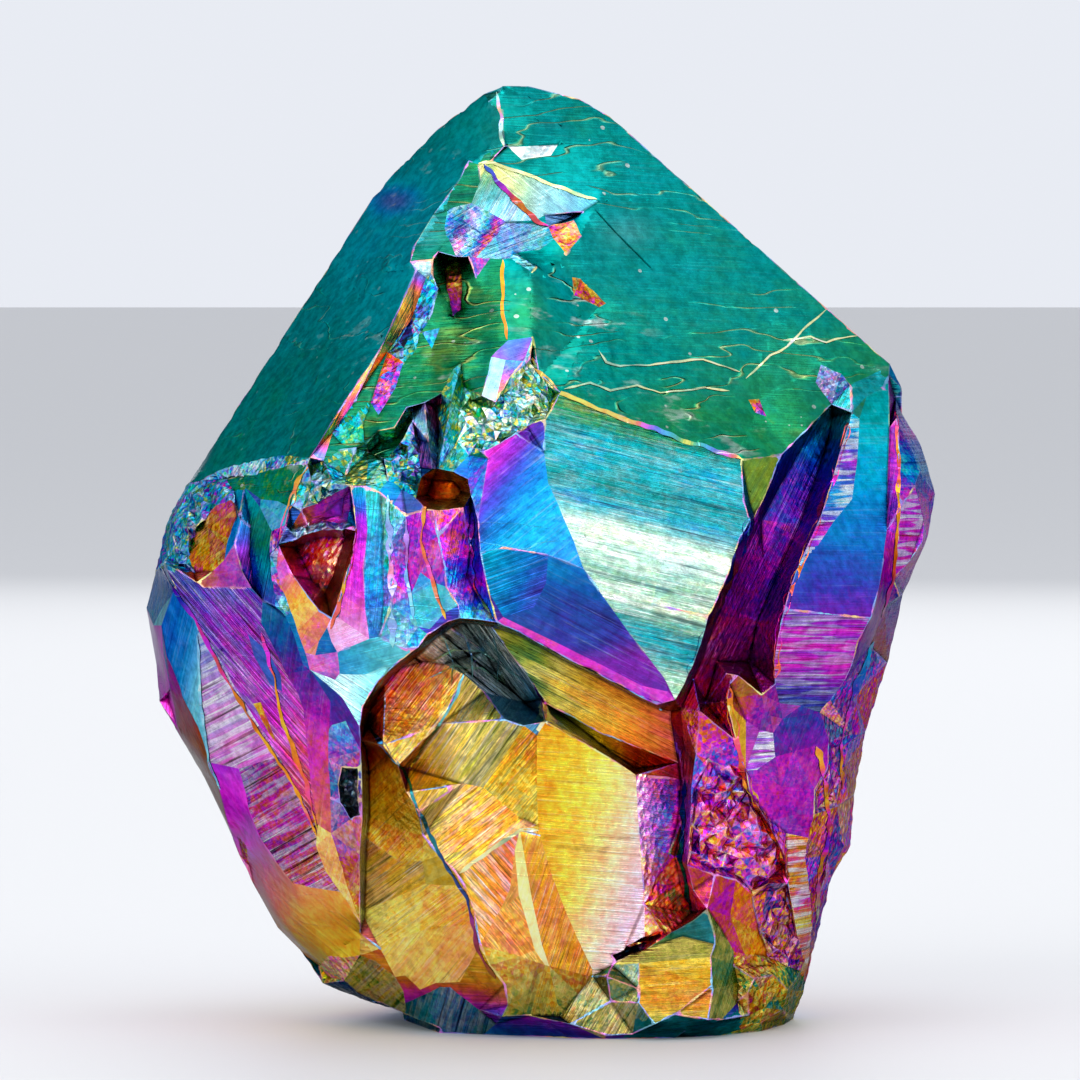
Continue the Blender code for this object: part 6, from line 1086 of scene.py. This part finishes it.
filmColours = [
    (0.00, (1.0, 0.80, 0.13)), (0.05, (1.0, 0.62, 0.03)), (0.11, (0.95, 0.35, 0.01)),
    (0.18, (0.85, 0.14, 0.02)), (0.25, (0.80, 0.05, 0.16)), (0.31, (0.78, 0.02, 0.60)),
    (0.38, (0.32, 0.015, 0.60)), (0.46, (0.06, 0.05, 0.58)), (0.54, (0.008, 0.16, 0.66)),
    (0.62, (0.0, 0.36, 0.76)), (0.70, (0.0, 0.55, 0.64)), (0.78, (0.0, 0.36, 0.32)),
    (0.86, (0.02, 0.38, 0.13)), (0.92, (0.30, 0.48, 0.04)), (0.96, (0.70, 0.66, 0.05)),
    (1.00, (1.0, 0.80, 0.13)),
]

auraCoating = {
    "metallic": 1.0,
    "roughness": 0.2,
    "rimTint": (0.25, 0.3, 0.35, 1),   # keeps the film's colour on faces that are seen at a slant
    "paleAndHighlightColour": (0.93, 0.95, 0.90, 1),
    "paleAndHighlightPower": 1.7,          # how whiteness grows with the table's number
    "paleAndHighlightMost": 0.85,
    "brightest": 0.98,
    # how far each effect shifts the film
    "streakFilm": 0.16,
    "barFilm": 0.05,
    "cloudFilm": 0.11,
    "mottleFilm": 0.045,
    "gritFilm": 0.26,
    "layerFilm": 0.1,
    # how much each effect whitens it
    "streakPale": 0.275,
    "barPale": 0.6,
    "gritPale": 0.36,
    "layerPale": 0.5,
    "fleckPale": 0.8,
    # painted highlight: how much the bright ridge lines are whitened
    "edgeHighlightWhiteness": 0.5,
    # how it is dimmed; creases get painted shade, and the ridge lines' brightness is painted highlight
    "streakDark": 0.55,
    "speckShade": (0.74, 1.22),
    "paintedCreaseDarkness": 0.45,
    "edgeHighlightBrightness": 1.3,
    # width of the bright ridge lines, partly painted highlight
    "crestWidth": 0.14,        # mm either side of a ridge
    "paintedShadeCreaseWidth": 0.35,
    # lumps to a metre
    "cloudScale": 160.0,
    "speckScale": 900.0,
    "cellScale": 1700.0,
    "mottleScale": 620.0,
    "edgeScale": 300.0,
    "highlightBreaksScale": 130.0,
    # growth lines: lumps to a mm across them and along them
    "streak": (1.35, 0.04),
    "fine": (4.6, 0.11),
    "bars": (1.7, 0.25),
    # growth terraces
    "layers": 13.0,            # how many layers the slow noise climbs
    "layersByHeight": 520.0,   # and how many the height does, to a metre
    "layerStretch": (0.6, 1.0, 2.2),
    "layerScale": 38.0,
    "layerGapScale": 95.0,
    "fleckScale": 800.0,
    "scuffScale": 330.0,
    "bump": 0.75,
    "bumpDistance": 0.0002,
}


def filmGroup(settings):
    # the colour of a film of a given thickness, whitened (its own pale colour and painted highlight) and
    # dimmed (painted light and shade)
    tree, given, out = newGroup(
        "interference film", {"Film": "Float", "Pale": "Float", "Shade": "Float"}, {"Color": "Color"})
    cameRound = mathNode(tree, given["Film"], 0.0, "FRACT")
    ramp = addNode(tree, "ShaderNodeValToRGB", Fac=cameRound)
    stops = ramp.color_ramp.elements
    while len(stops) < len(filmColours):
        stops.new(0.5)
    for stop, (place, colour) in zip(stops, filmColours):
        stop.position = place
        stop.color = (*colour, 1)
    curved = mathNode(tree, given["Pale"], settings["paleAndHighlightPower"], "POWER", clamp=True)
    paleAndHighlight = times(tree, curved, settings["paleAndHighlightMost"])
    whitened = addNode(tree, "ShaderNodeMix", {"data_type": "RGBA"}, _0=paleAndHighlight, _6=ramp.outputs[0],
                       _7=settings["paleAndHighlightColour"])
    dimmed = addNode(tree, "ShaderNodeVectorMath", {"operation": "SCALE"}, _0=whitened.outputs[2],
                     Scale=given["Shade"])
    capped = addNode(tree, "ShaderNodeVectorMath", {"operation": "MINIMUM"}, _0=dimmed.outputs[0],
                     _1=[settings["brightest"]] * 3)
    tree.links.new(capped.outputs[0], out["Color"])
    return tree


def terraceGroup(settings):
    # winding edges of growth layers: level lines of a slow noise, broken here and there
    tree, given, out = newGroup(
        "growth terraces", {"Place": "Vector", "Layers": "Float"}, {"Line": "Float", "Flecks": "Float"})
    stretched = addNode(tree, "ShaderNodeVectorMath", {"operation": "MULTIPLY"}, _0=given["Place"],
                        _1=settings["layerStretch"]).outputs[0]
    slow = noiseAt(tree, stretched, settings["layerScale"], 4.0)
    height = addNode(tree, "ShaderNodeSeparateXYZ", Vector=given["Place"]).outputs[2]
    byHeight = times(tree, height, settings["layersByHeight"])
    level = plus(tree, times(tree, slow, given["Layers"]), byHeight)
    offLine = mathNode(tree, minus(tree, mathNode(tree, level, 1.0, "FRACT"), 0.5), 0.0, "ABSOLUTE")
    gaps = noiseAt(tree, given["Place"], settings["layerGapScale"], 3.0)
    line = times(tree, between(tree, offLine, 0.07, 0.0), between(tree, gaps, 0.45, 0.57))
    tree.links.new(line, out["Line"])

    gap, chance, _ = cellsAt(tree, given["Place"], settings["fleckScale"])
    size = times(tree, minus(tree, chance, 0.86, clamp=True), 1.6)
    flecks = mathNode(tree, size, gap, "GREATER_THAN")
    scuffs = noiseAt(tree, stretched, settings["scuffScale"], 3.0, 0.6)
    scuffs = times(tree, between(tree, scuffs, 0.54, 0.68), between(tree, slow, 0.46, 0.6))
    marks = mathNode(tree, flecks, times(tree, scuffs, 0.9), "MAXIMUM")
    tree.links.new(marks, out["Flecks"])
    return tree


def growthGroup(settings):
    # growth lines that run along a facet: long thin streaks across the lay
    tree, given, out = newGroup(
        "growth lines", {"Lay": "Vector"},
        {"Streak": "Float", "Fine": "Float", "Strength": "Float", "Bars": "Float"})
    across, along, strength = addNode(tree, "ShaderNodeSeparateXYZ", Vector=given["Lay"]).outputs

    def drawn(name, detail, roughness, distortion):
        byAcross, byAlong = settings[name]
        place = addNode(tree, "ShaderNodeCombineXYZ", X=times(tree, across, byAcross),
                        Y=times(tree, along, byAlong)).outputs[0]
        return noiseAt(tree, place, 1.0, detail, roughness, distortion, "2D")

    tree.links.new(drawn("streak", 5.0, 0.68, 0.25), out["Streak"])
    tree.links.new(drawn("fine", 3.0, 0.6, 0.15), out["Fine"])
    tree.links.new(between(tree, drawn("bars", 1.0, 0.5, 0.0), 0.44, 0.56), out["Bars"])
    tree.links.new(strength, out["Strength"])
    return tree


def newMaterial(name):
    material = bpy.data.materials.new(name)
    material.use_nodes = True
    return material, material.node_tree, material.node_tree.nodes["Principled BSDF"]


def auraMaterial(settings, film, growth, terraces):
    material, tree, shader = newMaterial("aura coating")

    def attribute(name, output="Fac"):
        return addNode(tree, "ShaderNodeAttribute", {"attribute_name": name}).outputs[output]

    def filmColour(thick, pale, shade):
        node = addNode(tree, "ShaderNodeGroup", {"node_tree": film}, Film=thick, Pale=pale, Shade=shade)
        return node.outputs[0]

    place = addNode(tree, "ShaderNodeTexCoord").outputs["Object"]
    cloud = noiseAt(tree, place, settings["cloudScale"], 4.0, 0.6)
    speck = noiseAt(tree, place, settings["speckScale"], 3.0, 0.7)
    mottle = noiseAt(tree, place, settings["mottleScale"], 2.0, 0.55, 0.8)
    cellGap, cellFilm, cellPale = cellsAt(tree, place, settings["cellScale"])
    grit = attribute("grit")
    terrace = attribute("terrace")
    lines = addNode(tree, "ShaderNodeGroup", {"node_tree": growth}, Lay=attribute("lay", "Vector"))
    streak, fine, strength, bars = lines.outputs
    layers = addNode(tree, "ShaderNodeGroup", {"node_tree": terraces}, Place=place, Layers=settings["layers"])
    winding = times(tree, layers.outputs["Line"], terrace)
    flecks = times(tree, layers.outputs["Flecks"], terrace)
    stepped = times(tree, minus(tree, strength, 1.0, clamp=True), bars)

    # thickness
    thick = plus(tree, attribute("film"), centred(tree, cloud, settings["cloudFilm"]))
    thick = plus(tree, thick, centred(tree, mottle, settings["mottleFilm"]))
    thick = plus(tree, thick, times(tree, strength, centred(tree, streak, settings["streakFilm"])))
    thick = plus(tree, thick, times(tree, grit, centred(tree, cellFilm, settings["gritFilm"])))
    thick = plus(tree, thick, times(tree, winding, settings["layerFilm"]))
    thick = plus(tree, thick, times(tree, stepped, settings["barFilm"]))

    # whiteness
    lightLines = times(tree, strength, between(tree, fine, 0.56, 0.72))
    pale = plus(tree, attribute("pale"), times(tree, lightLines, settings["streakPale"]))
    pale = plus(tree, pale, times(tree, grit, centred(tree, cellPale, settings["gritPale"])))
    pale = plus(tree, pale, times(tree, winding, settings["layerPale"]))
    pale = plus(tree, pale, times(tree, flecks, settings["fleckPale"]), clamp=True)
    pale = plus(tree, pale, times(tree, stepped, settings["barPale"]), clamp=True)

    # brightness: the table's painted light and shade, with dark growth lines and random specks
    darkLines = times(tree, strength, between(tree, streak, 0.44, 0.28))
    dark = times(tree, darkLines, settings["streakDark"], clamp=True)
    shade = times(tree, attribute("shade"), minus(tree, 1.0, dark))
    shade = times(tree, shade, between(tree, speck, 0.3, 0.7, *settings["speckShade"]))
    # painted shade: faces are darkened along the creases, where shade falls
    shadedCreaseBand = between(tree, attribute("creaseGap"), settings["paintedShadeCreaseWidth"], 0.02)
    crease = times(tree, shadedCreaseBand, between(tree, attribute("crease"), 0.0, 0.5))
    crease = times(tree, between(tree, grit, 0.4, 1.0, 1.0, 0.3), crease)
    shade = times(tree, shade, between(tree, crease, 0.0, 1.0, 1.0, settings["paintedCreaseDarkness"]))

    # thin bright edges along the ridges, partly the film's colour at an edge and partly painted highlight
    # where a ridge catches the light; broken at random and on rough ground
    edgeNoise = noiseAt(tree, place, settings["edgeScale"], 2.0)
    edgeFilm = between(tree, edgeNoise, 0.3, 0.7, 0.02, 0.66)
    edge = filmColour(edgeFilm, settings["edgeHighlightWhiteness"], settings["edgeHighlightBrightness"])
    ragged = plus(tree, attribute("crestGap"), centred(tree, mottle, -0.45))
    crest = between(tree, ragged, settings["crestWidth"], settings["crestWidth"] * 0.5)
    crest = times(tree, crest, between(tree, attribute("crest"), 0.25, 0.8))
    crest = times(tree, crest, between(tree, grit, 0.35, 0.7, 1.0, 0.35))
    highlightBreaks = noiseAt(tree, place, settings["highlightBreaksScale"], 3.0, 0.6)
    crest = times(tree, crest, between(tree, highlightBreaks, 0.42, 0.54, 0.12, 1.0))
    colour = addNode(tree, "ShaderNodeMix", {"data_type": "RGBA"}, _0=crest,
                     _6=filmColour(thick, pale, shade), _7=edge)
    tree.links.new(colour.outputs[2], shader.inputs["Base Color"])

    rough = plus(tree, settings["roughness"], times(tree, grit, 0.12))
    rough = plus(tree, rough, centred(tree, cloud, 0.14))
    rough = plus(tree, rough, centred(tree, fine, 0.12))
    tree.links.new(rough, shader.inputs["Roughness"])
    shader.inputs["Metallic"].default_value = settings["metallic"]
    shader.inputs["Specular Tint"].default_value = settings["rimTint"]

    lineHeight = times(tree, strength, plus(tree, streak, fine))
    height = plus(tree, lineHeight, times(tree, grit, cellGap))
    height = plus(tree, height, times(tree, speck, 0.12))
    height = plus(tree, height, winding)
    bump = addNode(tree, "ShaderNodeBump", Strength=settings["bump"], Distance=settings["bumpDistance"],
                   Height=height)
    tree.links.new(bump.outputs[0], shader.inputs["Normal"])
    return material


sawnBase = {
    "metallic": 0.6,
    "sawScale": 260.0,
    "patchScale": 90.0,
    "film": (0.5, 0.85),
    "pale": 0.15,
    "shade": (0.35, 0.6),
    "roughness": (0.4, 0.6),
    "bump": 0.4,
}


def sawnMaterial(settings, film):
    # the sawn base took the same coating, dull and with saw marks
    material, tree, shader = newMaterial("coated sawn base")
    place = addNode(tree, "ShaderNodeTexCoord").outputs["Object"]
    saw = addNode(tree, "ShaderNodeTexWave", {"wave_type": "BANDS", "bands_direction": "X"}, Vector=place,
                  Scale=settings["sawScale"], Distortion=1.5, Detail=2.0).outputs[1]
    patch = noiseAt(tree, place, settings["patchScale"], 4.0)
    colour = addNode(tree, "ShaderNodeGroup", {"node_tree": film}, Pale=settings["pale"],
                     Film=between(tree, patch, 0.3, 0.7, *settings["film"]),
                     Shade=between(tree, saw, 0.0, 1.0, *settings["shade"]))
    tree.links.new(colour.outputs[0], shader.inputs["Base Color"])
    tree.links.new(between(tree, patch, 0.2, 0.8, *settings["roughness"]), shader.inputs["Roughness"])
    shader.inputs["Metallic"].default_value = settings["metallic"]
    bump = addNode(tree, "ShaderNodeBump", Strength=settings["bump"], Distance=0.0001, Height=saw)
    tree.links.new(bump.outputs[0], shader.inputs["Normal"])
    return material


skin = buildSkin(crystalSkin)
film = filmGroup(auraCoating)
growth = growthGroup(auraCoating)
skin.data.materials.append(auraMaterial(auraCoating, film, growth, terraceGroup(auraCoating)))
skin.data.materials.append(sawnMaterial(sawnBase, film))
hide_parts("crystal")
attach(skin, "root")
print("skin built")

studio = {
    "floorHalf": 8.0,          # half the floor's width, m
    "floorColour": (0.62, 0.62, 0.62, 1),
    "floorRoughness": 0.6,
    "world": 0.9,
    "worldColour": (0.9, 0.93, 1, 1),
    # name, place in m, size in m, watts
    "lamps": [
        ("key", (-0.55, -0.75, 0.5), 0.8, 4.2),
        ("fill", (0.85, -0.6, 0.35), 0.7, 2.4),
        ("top", (0.05, 0.0, 1.0), 0.9, 3.0),
        ("back", (0.1, 0.9, 0.5), 0.8, 2.2),
    ],
    "lampsFace": (0, 0, 0.045),
    "lens": 300.0,
    "distance": 0.9,
    "elevation": 2.0,          # of the camera, degrees
    "centre": (-0.00015, -0.012, 0.0494),
}


def buildStudio(settings):
    scene = bpy.context.scene
    data = bpy.data.meshes.new("floor")
    half = settings["floorHalf"]
    corners = [(-half, -half, 0), (half, -half, 0), (half, half, 0), (-half, half, 0)]
    data.from_pydata(corners, [], [(0, 1, 2, 3)])
    floor = bpy.data.objects.new("floor", data)
    scene.collection.objects.link(floor)
    material, _, shader = newMaterial("pale floor")
    shader.inputs["Base Color"].default_value = settings["floorColour"]
    shader.inputs["Roughness"].default_value = settings["floorRoughness"]
    data.materials.append(material)

    world = bpy.data.worlds.new("studio")
    world.use_nodes = True
    background = world.node_tree.nodes["Background"]
    background.inputs["Color"].default_value = settings["worldColour"]
    background.inputs["Strength"].default_value = settings["world"]
    scene.world = world
    for name, place, size, watts in settings["lamps"]:
        lamp = bpy.data.lights.new(name, "AREA")
        lamp.size = size
        lamp.energy = watts
        holder = bpy.data.objects.new(name, lamp)
        holder.location = place
        towards = Vector(settings["lampsFace"]) - Vector(place)
        holder.rotation_euler = towards.to_track_quat("-Z", "Y").to_euler()
        scene.collection.objects.link(holder)

    camera = bpy.data.cameras.new("camera")
    camera.lens = settings["lens"]
    camera.sensor_width = 36.0
    camera.clip_start = 0.01
    stand = bpy.data.objects.new("camera", camera)
    lift = math.radians(settings["elevation"])
    backOff = Vector((0, -math.cos(lift), math.sin(lift))) * settings["distance"]
    stand.location = Vector(settings["centre"]) + backOff
    stand.rotation_euler = (math.pi / 2 - lift, 0, 0)
    scene.collection.objects.link(stand)
    bpy.context.scene.camera = stand
    scene.view_settings.view_transform = "Standard"


buildStudio(studio)
print("studio built")
